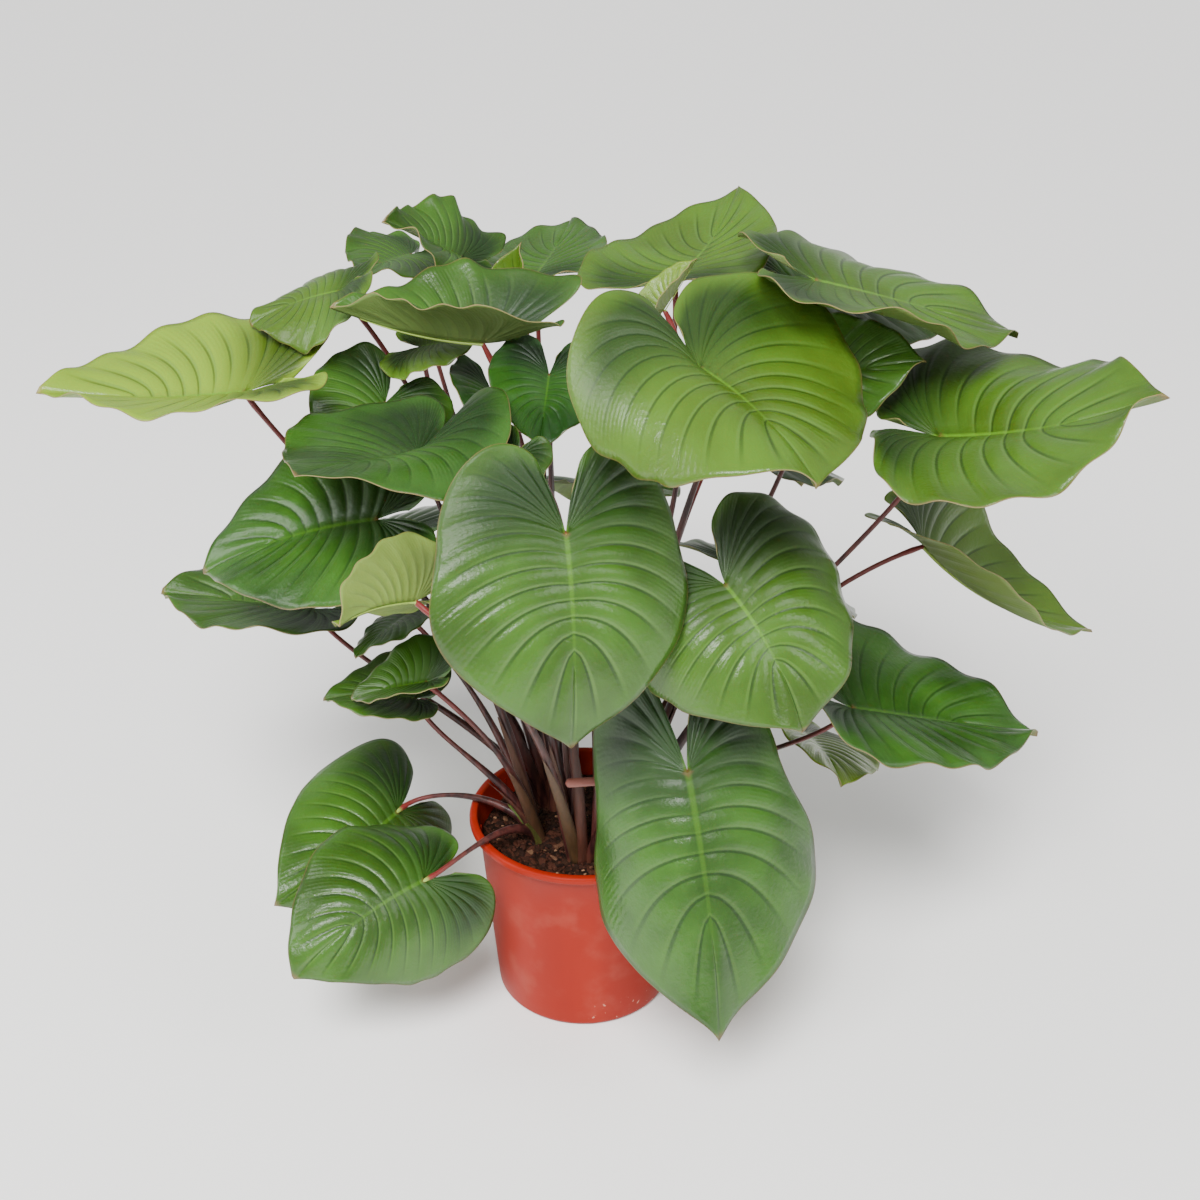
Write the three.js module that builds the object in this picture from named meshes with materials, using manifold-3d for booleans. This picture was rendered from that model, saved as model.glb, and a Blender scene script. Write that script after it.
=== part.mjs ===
// Potted maggy homalomena: heart-shaped leaves on dark stalks in a round nursery pot.
// Millimetres, +Z up. The origin is the middle of the pot's flat base, and the photo's
// viewer stands on the -Y side.

import * as THREE from 'three';
import { mergeVertices } from 'three/addons/utils/BufferGeometryUtils.js';
import Module from 'manifold-3d';

const wasm = await Module();
wasm.setup();

const { abs, cos, sin, PI, max, min, hypot, round } = Math;
const RAD = PI / 180;
const GAP = 0.3;

// Pot, a 21 cm nursery pot. Thin fins brace its rim from below, and it drains through its base.
const POT_HEIGHT = 190;
const RIM_RADIUS = 105;
const RIM_WIDTH = 7.5;
const RIM_HEIGHT = 7;
const RIM_ROUND = 1.5;
const NECK_RADIUS = 97;
const FOOT_RADIUS = 81;
const FOOT_ROUND = 6;
const WALL = 2.2;
const FLOOR = 3;
const POT_SIDES = 48;
const FINS = 15;
const FIRST_FIN = 213;
const FIN_THICKNESS = 1.2;
const FIN_DEPTH = 6;
const FIN_HEIGHT = 7.5;
const FIN_SUNK = 0.5;
const DRAIN_HOLES = 8;
const DRAIN_RADIUS = 5;
const DRAIN_RING = 58;

// Soil: it sits a little below the rim and rises to a low mound in the middle
const SOIL_Z = 170;
const SOIL_EDGE = 165;
const SOIL_RINGS = [30, 60, 80];
const SOIL_SIDES = 24;
const SOIL_MOUND = 6;
const SOIL_RELIEF = 2.5;
const SOIL_CLEARANCE = 0.7;

// Stalks. A clump's stub is the short stem in the soil that its stalks grow from.
const STUB_RADIUS = 16;
const STUB_DEPTH = 30;
const STUB_PROUD = 2;
const STUB_SIDES = 10;
const STALK_SIDES = 6;
const STALK_STEPS = 7;
const STALK_BASE = 5.5;
const STALK_TOP = 2.2;
const STALK_TIP = 1.3;
const STALK_TAPER = 1.6;
const STALK_SPREAD = 7;
const STALK_SUNK = 4;
const STALK_LEAN = 0.2;
const STALK_RISE = 0.45;
const STALK_EASE = 0.25;
const NOTCH_SEAT = 7;
const SHOOT_RADIUS = 4;
const SHOOT_END = 2;
const SHOOT_STEPS = 6;

// Blades
const BLADE_THICKNESS = 0.8;
const BLADE_ROWS = 10;
const BLADE_COLUMNS = [0, 0.36, 0.7, 1];
const BLADE_HALF_WIDTH = 0.6;
const LOBE_LENGTH = 0.5;
const VEIN_BOW = 1.15;
const BELLY_PLACE = 1.4;
const PLEAT = 1.1;
const MARGIN_WAVES = 2.5;

// Half of a blade's outline, in blade lengths: x towards the tip, y to the side.
// It runs from the bottom of the notch round the lobe and along the margin to the tip.
const OUTLINE = [
  [-0.20, 0.05],
  [-0.36, 0.13],
  [-0.42, 0.28],
  [-0.34, 0.45],
  [-0.14, 0.57],
  [0.12, 0.60],
  [0.38, 0.54],
  [0.64, 0.38],
  [0.84, 0.19],
  [0.94, 0.06],
  [1.00, 0.00],
];

// Share of the outline whose veins leave from the stalk, and not from the midrib
const LOBE_SHARE = 0.42;

// The same measure of the veins that the end of the stalk lies under
const SEAT_ROW = 0.5;

// The clumps of stalks: where each one stands in the soil
const CROWNS = {
  front: [0, -45],
  left: [-34, -14],
  right: [37, -14],
  back_left: [-27, 34],
  back_right: [27, 36],
};

// Every leaf, with its angles in degrees:
// crown = the clump its stalk grows from, at = where stalk and blade meet,
// heading = way of the midrib from +X, pitch = how steeply the midrib starts downwards,
// roll = lift of the left half, length = from the stalk to the tip,
// width, lobe, belly = share of the common width, of the lobes' reach, and extra fullness
// in the half towards the tip,
// fold, curl = for the [left, right] half, its slope along the midrib and its bend up
// towards the margin, lift = how much steeper that slope is in the lobe,
// droop = bend of the midrib down, back = bend of the lobes up,
// wave = height of the margin's waves, look = 'young' where the blade is yellow-green,
// rise = lift of the stalk's start, ease = share of the stalk that lines up with the
// blade, notch = true where the stalk joins inside the notch, in the blade's plane.
const LEAVES = [
  { name: 'front_mid', crown: 'front', at: [-10, -180, 572], heading: -78, pitch: 55, roll: -8,
    length: 170, width: 0.97, fold: [3, 5], curl: [-33, -25], droop: 35, back: 12, belly: 0.3,
    wave: 2 },
  { name: 'top_mid', crown: 'right', at: [91, -118, 680], heading: -50, pitch: 5, roll: -30,
    length: 150, width: 1.5, fold: [25, -10], curl: [-20, -90], lift: [70, 90], droop: 25, back: 0,
    wave: 4 },
  { name: 'right_mid', crown: 'right', at: [115, -130, 500], heading: -40, pitch: 35, roll: 0,
    length: 135, width: 1.45, fold: [40, -15], curl: [-50, -60], droop: 35, back: 5, wave: 4 },
  { name: 'low_right', crown: 'front', at: [87, -165, 345], heading: -71, pitch: 55, roll: -6,
    length: 228, width: 0.66, fold: [-5, -28], curl: [-22, -75], lift: [8, 0], droop: 20, back: 12,
    belly: 0.75, wave: 4 },
  { name: 'low_left_front', crown: 'left', at: [-140, -100, 185], heading: -140, pitch: 0,
    roll: -20, length: 145, width: 1.05, fold: [-30, 25], curl: [-45, -35], lift: [10, -60],
    droop: 50, back: 5, wave: 3, rise: 50, ease: 0.2, notch: true },
  { name: 'low_left_rear', crown: 'left', at: [-172, 0, 187], heading: -125, pitch: 5, roll: -52,
    length: 145, width: 1.05, fold: [-15, -15], curl: [-50, -50], lift: [15, 0], droop: 35,
    back: -35, wave: 2, rise: 45, ease: 0.28, notch: true },
  { name: 'far_left', crown: 'back_left', at: [-280, 20, 600], heading: -175, pitch: 5, roll: 0,
    length: 170, fold: [20, 25], curl: [-10, -20], lift: [5, 10], droop: -15, back: 15, wave: 5,
    look: 'young' },
  { name: 'left_upper', crown: 'front', at: [-128, -82, 593], heading: -130, pitch: -15, roll: 48,
    length: 136, width: 1.2, fold: [-35, 45], curl: [-60, -5], lift: [112, 35], droop: 5, back: 30,
    wave: 3 },
  { name: 'left_big', crown: 'left', at: [-165, -75, 530], heading: -185, pitch: 10, roll: -15,
    length: 165, width: 0.95, fold: [10, 25], curl: [-25, -15], droop: 25, back: 0, lobe: 0.8,
    wave: 3 },
  { name: 'left_low', crown: 'back_left', at: [-240, 25, 390], heading: 160, pitch: 5, roll: -5,
    length: 155, fold: [25, 20], curl: [-10, -10], droop: 0, back: 15, wave: 5 },
  { name: 'left_olive', crown: 'front', at: [-125, -190, 520], heading: 215, pitch: -15, roll: 70,
    length: 80, width: 1.05, fold: [40, 30], curl: [15, 10], droop: 30, back: 15, wave: 3,
    look: 'young' },
  { name: 'left_small', crown: 'left', at: [-130, -90, 385], heading: -200, pitch: 20, roll: -10,
    length: 80, width: 0.95, fold: [25, 25], curl: [0, 0], droop: 10, back: 15, wave: 2 },
  { name: 'left_dark', crown: 'left', at: [-145, -45, 340], heading: 170, pitch: -5, roll: 0,
    length: 85, fold: [20, 25], curl: [-20, -5], droop: 25, back: 10, lobe: 0.7, wave: 2 },
  { name: 'left_mid_dark', crown: 'left', at: [-150, -30, 415], heading: -140, pitch: 10, roll: 15,
    length: 60, fold: [10, 5], curl: [-20, -30], droop: 20, back: 10, lobe: 0.6, wave: 2 },
  { name: 'right_upper', crown: 'right', at: [288, -55, 594], heading: -20, pitch: -10, roll: 20,
    length: 185, width: 1.2, fold: [5, 20], curl: [-45, -30], lift: [45, 68], droop: -25, back: -35,
    wave: 8 },
  { name: 'right_fold', crown: 'right', at: [300, 40, 445], heading: 0, pitch: 50, roll: -15,
    length: 195, width: 0.75, fold: [30, 0], curl: [20, 50], lift: [58, -15], droop: -40, back: -40,
    wave: 3, rise: 35 },
  { name: 'right_low', crown: 'right', at: [235, -50, 333], heading: 10, pitch: 15, roll: 0,
    length: 180, width: 0.95, fold: [20, 15], curl: [-10, -35], lift: [15, 25], droop: 0, back: 15,
    lobe: 0.8, wave: 6, rise: 30 },
  { name: 'right_olive', crown: 'right', at: [207, 50, 241], heading: -70, pitch: -15, roll: -30,
    length: 100, width: 1.2, fold: [10, 10], curl: [-10, 0], droop: 25, back: 10, wave: 3, rise: 50,
    ease: 0.15, look: 'young' },
  { name: 'top_left', crown: 'back_left', at: [-105, 148, 671], heading: 210, pitch: -35, roll: -15,
    length: 85, fold: [20, 40], curl: [-45, -20], droop: 5, back: 25, wave: 6 },
  { name: 'left_back', crown: 'back_left', at: [-205, 85, 664], heading: 180, pitch: 10, roll: -10,
    length: 85, width: 1.25, fold: [0, 10], curl: [-55, -55], lift: [90, 30], droop: 25, back: 0,
    wave: 4 },
  { name: 'left_back_low', crown: 'back_left', at: [-156, 220, 648], heading: 240, pitch: -10,
    roll: -5, length: 85, width: 1.05, fold: [10, 15], curl: [-40, -10], droop: 10, back: -10,
    wave: 4 },
  { name: 'crown_left', crown: 'front', at: [-80, 15, 646], heading: 178, pitch: -2, roll: -5,
    length: 128, width: 0.9, fold: [66, 35], curl: [-20, -15], lift: [-30, 50], droop: -25,
    back: 45, lobe: 1.1, wave: 5 },
  { name: 'upright', crown: 'back_left', at: [-58, 108, 626], heading: 60, pitch: -80, roll: 0,
    length: 70, fold: [50, 50], curl: [0, 0], droop: 0, back: 0, lobe: 0.3, wave: 2 },
  { name: 'back_mid', crown: 'back_left', at: [-42, 200, 636], heading: 75, pitch: 0, roll: -10,
    length: 125, width: 0.85, fold: [10, 15], curl: [0, -15], droop: -10, back: 15, lobe: 0.8,
    wave: 3 },
  { name: 'back_right', crown: 'back_right', at: [80, 130, 660], heading: 60, pitch: 0, roll: -20,
    length: 155, width: 0.9, fold: [10, 5], curl: [30, -20], droop: -30, back: 15, wave: 3 },
  { name: 'right_top', crown: 'back_right', at: [190, 15, 700], heading: 5, pitch: 15, roll: 5,
    length: 180, width: 1.1, fold: [5, 0], curl: [-25, 30], droop: 5, back: 15, lobe: 0.8,
    wave: 6 },
  { name: 'right_top_back', crown: 'back_right', at: [190, 152, 644], heading: 5, pitch: 10,
    roll: 5, length: 150, fold: [5, 5], curl: [-20, -20], droop: 20, back: 10, lobe: 0.7, wave: 4 },
  { name: 'right_under', crown: 'right', at: [184, 10, 614], heading: -25, pitch: -25, roll: 30,
    length: 105, fold: [10, 10], curl: [-5, -45], droop: 15, back: 10, wave: 3 },
  { name: 'shade_mid', crown: 'back_left', at: [-26, 0, 624], heading: -95, pitch: 20, roll: -5,
    length: 76, width: 1.1, fold: [20, 20], curl: [-30, -20], droop: 20, back: 20, wave: 3 },
  { name: 'shade_left', crown: 'back_left', at: [-167, 50, 577], heading: 245, pitch: 20, roll: -15,
    length: 90, width: 1.15, fold: [10, 25], curl: [-20, -10], droop: 20, back: 15, wave: 3 },
  { name: 'behind_front', crown: 'front', at: [-52, -105, 598], heading: -130, pitch: 35, roll: 0,
    length: 60, fold: [10, 10], curl: [-20, -20], droop: 20, back: 10, wave: 2 },
  { name: 'rear_low', crown: 'back_left', at: [-5, 195, 430], heading: 85, pitch: 20, roll: 0,
    length: 180, width: 0.9, fold: [5, 5], curl: [-20, -20], droop: 30, back: 15, wave: 3 },
  { name: 'rear_right', crown: 'back_right', at: [128, 208, 468], heading: 52, pitch: 20, roll: 0,
    length: 190, fold: [5, 5], curl: [-20, -20], droop: 30, back: 15, wave: 4 },
  { name: 'rear_left', crown: 'back_left', at: [-178, 180, 385], heading: 135, pitch: 15, roll: 0,
    length: 170, fold: [5, 5], curl: [-20, -20], droop: 30, back: 15, wave: 4 },
  { name: 'rear_bottom', crown: 'back_right', at: [50, 180, 290], heading: 75, pitch: 25, roll: 0,
    length: 150, fold: [5, 5], curl: [-20, -20], droop: 30, back: 15, wave: 3 },
  { name: 'rear_side', crown: 'back_right', at: [165, 165, 350], heading: 35, pitch: 20, roll: 0,
    length: 150, fold: [5, 5], curl: [-20, -20], droop: 30, back: 15, wave: 3 },
  { name: 'young_fold', crown: 'back_right', at: [68, 40, 665], heading: 20, pitch: -55, roll: 0,
    length: 50, width: 0.8, fold: [48, 48], curl: [0, 0], droop: 0, back: 0, wave: 1 },
  { name: 'olive_under', crown: 'back_left', at: [-138, 85, 614], heading: -25, pitch: -20,
    roll: 25, length: 64, width: 1.1, fold: [15, 15], curl: [-20, -15], droop: 15, back: 20,
    wave: 3 },
  { name: 'dark_behind', crown: 'back_left', at: [-78, 72, 578], heading: -85, pitch: 5, roll: 0,
    length: 70, fold: [35, 35], curl: [0, -5], droop: 10, back: 15, wave: 3, rise: 35 },
];

// Blunt stems without a blade: a young shoot that lies across the front, and old leaf bases
const SHOOTS = [
  { crown: 'front', path: [[8, -45, 168], [42, -58, 230], [46, -88, 282], [-14, -98, 288]] },
  { crown: 'front', path: [[-10, -50, 168], [-20, -57, 240], [-26, -54, 325]] },
  { crown: 'front', path: [[10, -50, 168], [13, -60, 250], [12, -58, 335]] },
];

// Plain helpers

function solidFrom(geometry) {
  const bare = geometry.clone();
  bare.deleteAttribute('normal');
  bare.deleteAttribute('uv');
  const merged = mergeVertices(bare, 1e-4);
  return new wasm.Manifold(new wasm.Mesh({
    numProp: 3,
    vertProperties: new Float32Array(merged.attributes.position.array),
    triVerts: new Uint32Array(merged.index.array),
  }));
}

function geometryFrom(solid) {
  const mesh = solid.getMesh();
  const geometry = new THREE.BufferGeometry();
  geometry.setAttribute('position', new THREE.BufferAttribute(mesh.vertProperties, 3));
  geometry.setIndex(new THREE.BufferAttribute(mesh.triVerts, 1));
  geometry.computeVertexNormals();
  return geometry;
}

function geometryOf(points, triangles) {
  const geometry = new THREE.BufferGeometry();
  geometry.setAttribute('position', new THREE.Float32BufferAttribute(points.flat(), 3));
  geometry.setIndex(triangles.flat());
  geometry.computeVertexNormals();
  return geometry;
}

function material(color, roughness) {
  return new THREE.MeshStandardMaterial({ color, roughness, metalness: 0 });
}

const MATERIALS = {
  pot: material(0xcc5236, 0.45),
  soil: material(0x33241b, 0.95),
  stalk: material(0x4f2d2c, 0.5),
  leaf: material(0x4b7f35, 0.35),
  young: material(0x93b455, 0.4),
};

// Blade surface

const outlineCurve = new THREE.CatmullRomCurve3(
  OUTLINE.map(([x, y]) => new THREE.Vector3(x, y, 0)), false, 'centripetal');

// Flat place of a vein's point: t runs round the outline, v from the midrib to the margin.
function flatPoint(leaf, t, v) {
  const edge = outlineCurve.getPointAt(t);
  const start = max(0, (t - LOBE_SHARE) / (1 - LOBE_SHARE)) ** VEIN_BOW;
  const reach = edge.x * (edge.x < 0 ? leaf.lobe ?? 1 : 1);
  const belly = (leaf.belly ?? 0) * sin(PI * max(0, edge.x) ** BELLY_PLACE);
  const fullness = (leaf.width ?? 1) * (1 + belly);
  const x = start + (reach - start) * v ** VEIN_BOW;
  const y = edge.y * fullness * v;
  return [x * leaf.length, y * leaf.length];
}

// Arc of a strip that starts at angle a and turns by b over the length reach
function arc(s, a, b, reach) {
  const rate = (b || 1e-4) / reach;
  return [(sin(a + rate * s) - sin(a)) / rate, (cos(a) - cos(a + rate * s)) / rate];
}

// Slope of one half along the midrib, in degrees: the lobe can be steeper than the rest
function slopeOf(leaf, half, t) {
  return leaf.fold[half] + (leaf.lift ? leaf.lift[half] * (1 - t) ** 2 : 0);
}

// Place of a blade point in the leaf's own axes: x along the midrib, y left, z up
function bladePoint(leaf, t, v, side) {
  const [x, y] = flatPoint(leaf, t, v);
  const half = side > 0 ? 0 : 1;
  const halfWidth = BLADE_HALF_WIDTH * leaf.length;
  const [across, rise] = arc(y, slopeOf(leaf, half, t) * RAD, leaf.curl[half] * RAD, halfWidth);
  const way = x > 0 ? 1 : -1;
  const bend = (x > 0 ? leaf.droop : -leaf.back) * RAD;
  const run = leaf.length * (x > 0 ? 1 : LOBE_LENGTH);
  const [along, fall] = arc(abs(x), 0, bend, run);
  const slope = bend * abs(x) / run;
  const ripple = leaf.wave * v ** 3 * sin(t * MARGIN_WAVES * 2 * PI + side);
  const row = round(t * BLADE_ROWS);
  const pleat = PLEAT * (row % 2 ? 1 : -1) * sin(PI * min(v, 0.9)) * (t < 1 ? 1 : 0);
  const up = rise + ripple + pleat;
  return [way * along + up * sin(slope), side * across, up * cos(slope) - fall];
}

function bladeGeometry(leaf) {
  const points = [];
  const keys = new Map();
  const put = (row, column, side) => {
    const t = row / BLADE_ROWS;
    const onRib = column === 0 || row === BLADE_ROWS;
    const ribRow = t <= LOBE_SHARE && column === 0 ? 0 : row;
    const key = onRib ? `rib${ribRow}` : `${row}/${column}/${side}`;
    if (!keys.has(key)) {
      keys.set(key, points.length);
      points.push(bladePoint(leaf, t, BLADE_COLUMNS[column], onRib ? 1 : side));
    }
    return keys.get(key);
  };
  const faces = [];
  const face = (a, b, c) => {
    if (a !== b && b !== c && c !== a) {
      faces.push([a, b, c]);
    }
  };
  const last = BLADE_COLUMNS.length - 1;
  for (const side of [1, -1]) {
    for (let row = 0; row < BLADE_ROWS; row += 1) {
      for (let column = 0; column < last; column += 1) {
        const a = put(row, column, side);
        const b = put(row, column + 1, side);
        const c = put(row + 1, column + 1, side);
        const d = put(row + 1, column, side);
        if (side > 0) {
          face(a, c, b);
          face(a, d, c);
        } else {
          face(a, b, c);
          face(a, c, d);
        }
      }
    }
  }
  return thicken(points, faces);
}

// A sheet of triangles becomes a closed blade with the same triangles on both faces
function thicken(points, faces) {
  const normals = points.map(() => new THREE.Vector3());
  const corner = (i) => new THREE.Vector3(...points[i]);
  for (const [a, b, c] of faces) {
    const n = corner(b).sub(corner(a)).cross(corner(c).sub(corner(a)));
    [a, b, c].forEach((i) => normals[i].add(n));
  }
  const shift = (i, way) => {
    const n = normals[i].clone().normalize().multiplyScalar(way * BLADE_THICKNESS / 2);
    return corner(i).add(n).toArray();
  };
  const count = points.length;
  const all = [...points.map((_, i) => shift(i, 1)), ...points.map((_, i) => shift(i, -1))];
  const triangles = [];
  const edges = new Map();
  for (const [a, b, c] of faces) {
    triangles.push([a, b, c], [c + count, b + count, a + count]);
    for (const [p, q] of [[a, b], [b, c], [c, a]]) {
      if (edges.has(`${q}/${p}`)) {
        edges.delete(`${q}/${p}`);
      } else {
        edges.set(`${p}/${q}`, [p, q]);
      }
    }
  }
  for (const [p, q] of edges.values()) {
    triangles.push([q, p, p + count], [q, p + count, q + count]);
  }
  return geometryOf(all, triangles);
}

function bladeTurn(leaf) {
  return new THREE.Euler(leaf.roll * RAD, leaf.pitch * RAD, leaf.heading * RAD, 'ZYX');
}

// Stalks

function stalkCurve(leaf) {
  const [cx, cy] = CROWNS[leaf.crown];
  const turn = bladeTurn(leaf);
  const lowest = min(slopeOf(leaf, 0, SEAT_ROW), slopeOf(leaf, 1, SEAT_ROW));
  const drop = STALK_TIP * sin(max(0, -lowest) * RAD);
  const under = -BLADE_THICKNESS / 2 - GAP - STALK_TIP / 2 - drop;
  const joint = leaf.notch ? [-NOTCH_SEAT, 0, 0] : [0, 0, under];
  const end = new THREE.Vector3(...joint).applyEuler(turn).add(new THREE.Vector3(...leaf.at));
  const reach = hypot(end.x - cx, end.y - cy);
  const start = new THREE.Vector3(
    cx + STALK_SPREAD * (end.x - cx) / reach,
    cy + STALK_SPREAD * (end.y - cy) / reach,
    SOIL_Z - STALK_SUNK);
  const way = end.clone().sub(start);
  const leave = start.clone().add(
    new THREE.Vector3(way.x * STALK_LEAN, way.y * STALK_LEAN, way.z * STALK_RISE));
  leave.z += leaf.rise ?? 0;
  const arrival = leaf.notch ? new THREE.Vector3(1, 0, 0) : new THREE.Vector3(0.5, 0, 1);
  arrival.normalize().applyEuler(turn);
  const arrive = end.clone().addScaledVector(arrival, -way.length() * (leaf.ease ?? STALK_EASE));
  return new THREE.CubicBezierCurve3(start, leave, arrive, end);
}

// A closed round rod along a curve, with its radius at each step
function rodGeometry(curve, steps, radiusAt) {
  const points = [];
  const triangles = [];
  const frames = curve.computeFrenetFrames(steps, false);
  for (let step = 0; step <= steps; step += 1) {
    const centre = curve.getPointAt(step / steps);
    const radius = radiusAt(step / steps);
    for (let k = 0; k < STALK_SIDES; k += 1) {
      const a = 2 * PI * k / STALK_SIDES;
      points.push(centre.clone()
        .addScaledVector(frames.normals[step], radius * cos(a))
        .addScaledVector(frames.binormals[step], radius * sin(a)).toArray());
    }
  }
  for (let step = 0; step < steps; step += 1) {
    for (let k = 0; k < STALK_SIDES; k += 1) {
      const a = step * STALK_SIDES + k;
      const b = step * STALK_SIDES + (k + 1) % STALK_SIDES;
      triangles.push([a, b, b + STALK_SIDES], [a, b + STALK_SIDES, a + STALK_SIDES]);
    }
  }
  const top = steps * STALK_SIDES;
  for (let k = 1; k < STALK_SIDES - 1; k += 1) {
    triangles.push([0, k + 1, k], [top, top + k, top + k + 1]);
  }
  return geometryOf(points, triangles);
}

// A stalk is thick where it sheathes its neighbours and thins to the blade
function stalkRadius(s) {
  return s < 1 ? STALK_BASE + (STALK_TOP - STALK_BASE) * min(1, s * STALK_TAPER) : STALK_TIP;
}

// A shoot keeps its thickness and ends blunt
function shootRadius(s) {
  return s < 1 ? SHOOT_RADIUS : SHOOT_END;
}

// A standing cylinder between two heights
function upright(radius, low, high, x, y, sides) {
  return new THREE.CylinderGeometry(radius, radius, high - low, sides)
    .rotateX(PI / 2).translate(x, y, (low + high) / 2);
}

function crownGeometry(name) {
  const [x, y] = CROWNS[name];
  const low = SOIL_Z - STUB_DEPTH;
  let solid = solidFrom(upright(STUB_RADIUS, low, SOIL_Z + STUB_PROUD, x, y, STUB_SIDES));
  for (const leaf of LEAVES.filter((one) => one.crown === name)) {
    solid = solid.add(solidFrom(rodGeometry(stalkCurve(leaf), STALK_STEPS, stalkRadius)));
  }
  for (const shoot of SHOOTS.filter((one) => one.crown === name)) {
    const path = new THREE.CatmullRomCurve3(shoot.path.map((p) => new THREE.Vector3(...p)));
    solid = solid.add(solidFrom(rodGeometry(path, SHOOT_STEPS, shootRadius)));
  }
  return geometryFrom(solid);
}

// Pot and soil

function wallRadius(z) {
  return FOOT_RADIUS + (NECK_RADIUS - FOOT_RADIUS) * z / (POT_HEIGHT - RIM_HEIGHT);
}

// A fin under the rim at the +X side: a thin upright triangle, its root sunk in the wall
function finGeometry(neck) {
  const root = NECK_RADIUS - WALL * 0.7;
  const shape = new THREE.Shape([
    new THREE.Vector2(root, neck + FIN_SUNK),
    new THREE.Vector2(root, neck - FIN_HEIGHT),
    new THREE.Vector2(NECK_RADIUS + FIN_DEPTH, neck + FIN_SUNK),
  ]);
  return new THREE.ExtrudeGeometry(shape, { depth: FIN_THICKNESS, bevelEnabled: false })
    .translate(0, 0, -FIN_THICKNESS / 2).rotateX(PI / 2);
}

function potGeometry() {
  const neck = POT_HEIGHT - RIM_HEIGHT;
  const inner = RIM_RADIUS - RIM_WIDTH;
  const profile = [
    [0, 0],
    [FOOT_RADIUS - FOOT_ROUND, 0],
    [FOOT_RADIUS - FOOT_ROUND * 0.3, FOOT_ROUND * 0.3],
    [FOOT_RADIUS + 0.5, FOOT_ROUND],
    [NECK_RADIUS, neck],
    [RIM_RADIUS - 1, neck],
    [RIM_RADIUS, neck + RIM_ROUND],
    [RIM_RADIUS, POT_HEIGHT - 2.5],
    [RIM_RADIUS - 2, POT_HEIGHT],
    [inner + RIM_ROUND, POT_HEIGHT],
    [inner, POT_HEIGHT - RIM_ROUND],
    [NECK_RADIUS - WALL, neck - 2],
    [FOOT_RADIUS - WALL, FLOOR],
    [0, FLOOR],
  ];
  const outline = profile.map(([r, z]) => new THREE.Vector2(r, z));
  const turned = new THREE.LatheGeometry(outline, POT_SIDES).rotateX(PI / 2);
  let pot = solidFrom(turned);
  for (let k = 0; k < FINS; k += 1) {
    pot = pot.add(solidFrom(finGeometry(neck).rotateZ(FIRST_FIN * RAD + 2 * PI * k / FINS)));
  }
  for (let k = 0; k < DRAIN_HOLES; k += 1) {
    const a = 2 * PI * (k + 0.5) / DRAIN_HOLES;
    const hole = upright(DRAIN_RADIUS, -1, FLOOR + 1, DRAIN_RING * cos(a), DRAIN_RING * sin(a), 8);
    pot = pot.subtract(solidFrom(hole));
  }
  return geometryFrom(pot);
}

function soilHeight(x, y) {
  const mound = SOIL_MOUND * (1 - min(1, hypot(x, y) / NECK_RADIUS) ** 2);
  return SOIL_EDGE + 1 + mound + SOIL_RELIEF * sin(x * 0.13 + 1) * cos(y * 0.11);
}

function soilGeometry() {
  const sides = SOIL_SIDES;
  const rim = wallRadius(SOIL_Z) - WALL - SOIL_CLEARANCE;
  const foot = FOOT_RADIUS - WALL - SOIL_CLEARANCE;
  const points = [[0, 0, soilHeight(0, 0)]];
  const rings = [...SOIL_RINGS.map((r) => [r, null]), [rim, SOIL_EDGE], [foot, FLOOR + GAP]];
  for (const [radius, level] of rings) {
    for (let k = 0; k < sides; k += 1) {
      const a = 2 * PI * k / sides;
      const x = radius * cos(a);
      const y = radius * sin(a);
      points.push([x, y, level ?? soilHeight(x, y)]);
    }
  }
  points.push([0, 0, FLOOR + GAP]);
  const triangles = [];
  const at = (ring, k) => 1 + ring * sides + (k % sides);
  for (let k = 0; k < sides; k += 1) {
    triangles.push([0, at(0, k), at(0, k + 1)]);
    for (let ring = 0; ring < rings.length - 1; ring += 1) {
      triangles.push([at(ring, k), at(ring + 1, k), at(ring + 1, k + 1)]);
      triangles.push([at(ring, k), at(ring + 1, k + 1), at(ring, k + 1)]);
    }
    triangles.push([points.length - 1, at(rings.length - 1, k + 1), at(rings.length - 1, k)]);
  }
  let soil = solidFrom(geometryOf(points, triangles));
  const bottom = SOIL_Z - STUB_DEPTH - GAP;
  const above = SOIL_Z + STUB_DEPTH;
  for (const [x, y] of Object.values(CROWNS)) {
    const hole = upright(STUB_RADIUS + 2 * GAP, bottom, above, x, y, STUB_SIDES);
    soil = soil.subtract(solidFrom(hole));
  }
  return geometryFrom(soil);
}

// The plant in its pot

const group = new THREE.Group();

function addMesh(name, geometry, look) {
  const mesh = new THREE.Mesh(geometry, look);
  mesh.name = name;
  group.add(mesh);
  return mesh;
}

addMesh('pot', potGeometry(), MATERIALS.pot);
addMesh('soil', soilGeometry(), MATERIALS.soil);
for (const name of Object.keys(CROWNS)) {
  addMesh(`crown_${name}`, crownGeometry(name), MATERIALS.stalk);
}
for (const leaf of LEAVES) {
  const mesh = addMesh(`leaf_${leaf.name}`, bladeGeometry(leaf), MATERIALS[leaf.look ?? 'leaf']);
  mesh.position.set(...leaf.at);
  mesh.rotation.copy(bladeTurn(leaf));
}

export default group;
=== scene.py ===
# %% [markdown]
# # A potted maggy homalomena
# A bushy house plant: about three dozen heart-shaped leaves stand on long dark stalks over a
# round plastic nursery pot. The measured model is loaded first and stays where it is. Every
# piece made below stands in the same place as the plain solid that it replaces, only finer.

# %% Load the measured model
import math
import bmesh
import bpy
import numpy as np
from mathutils import Euler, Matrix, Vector, noise


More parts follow.
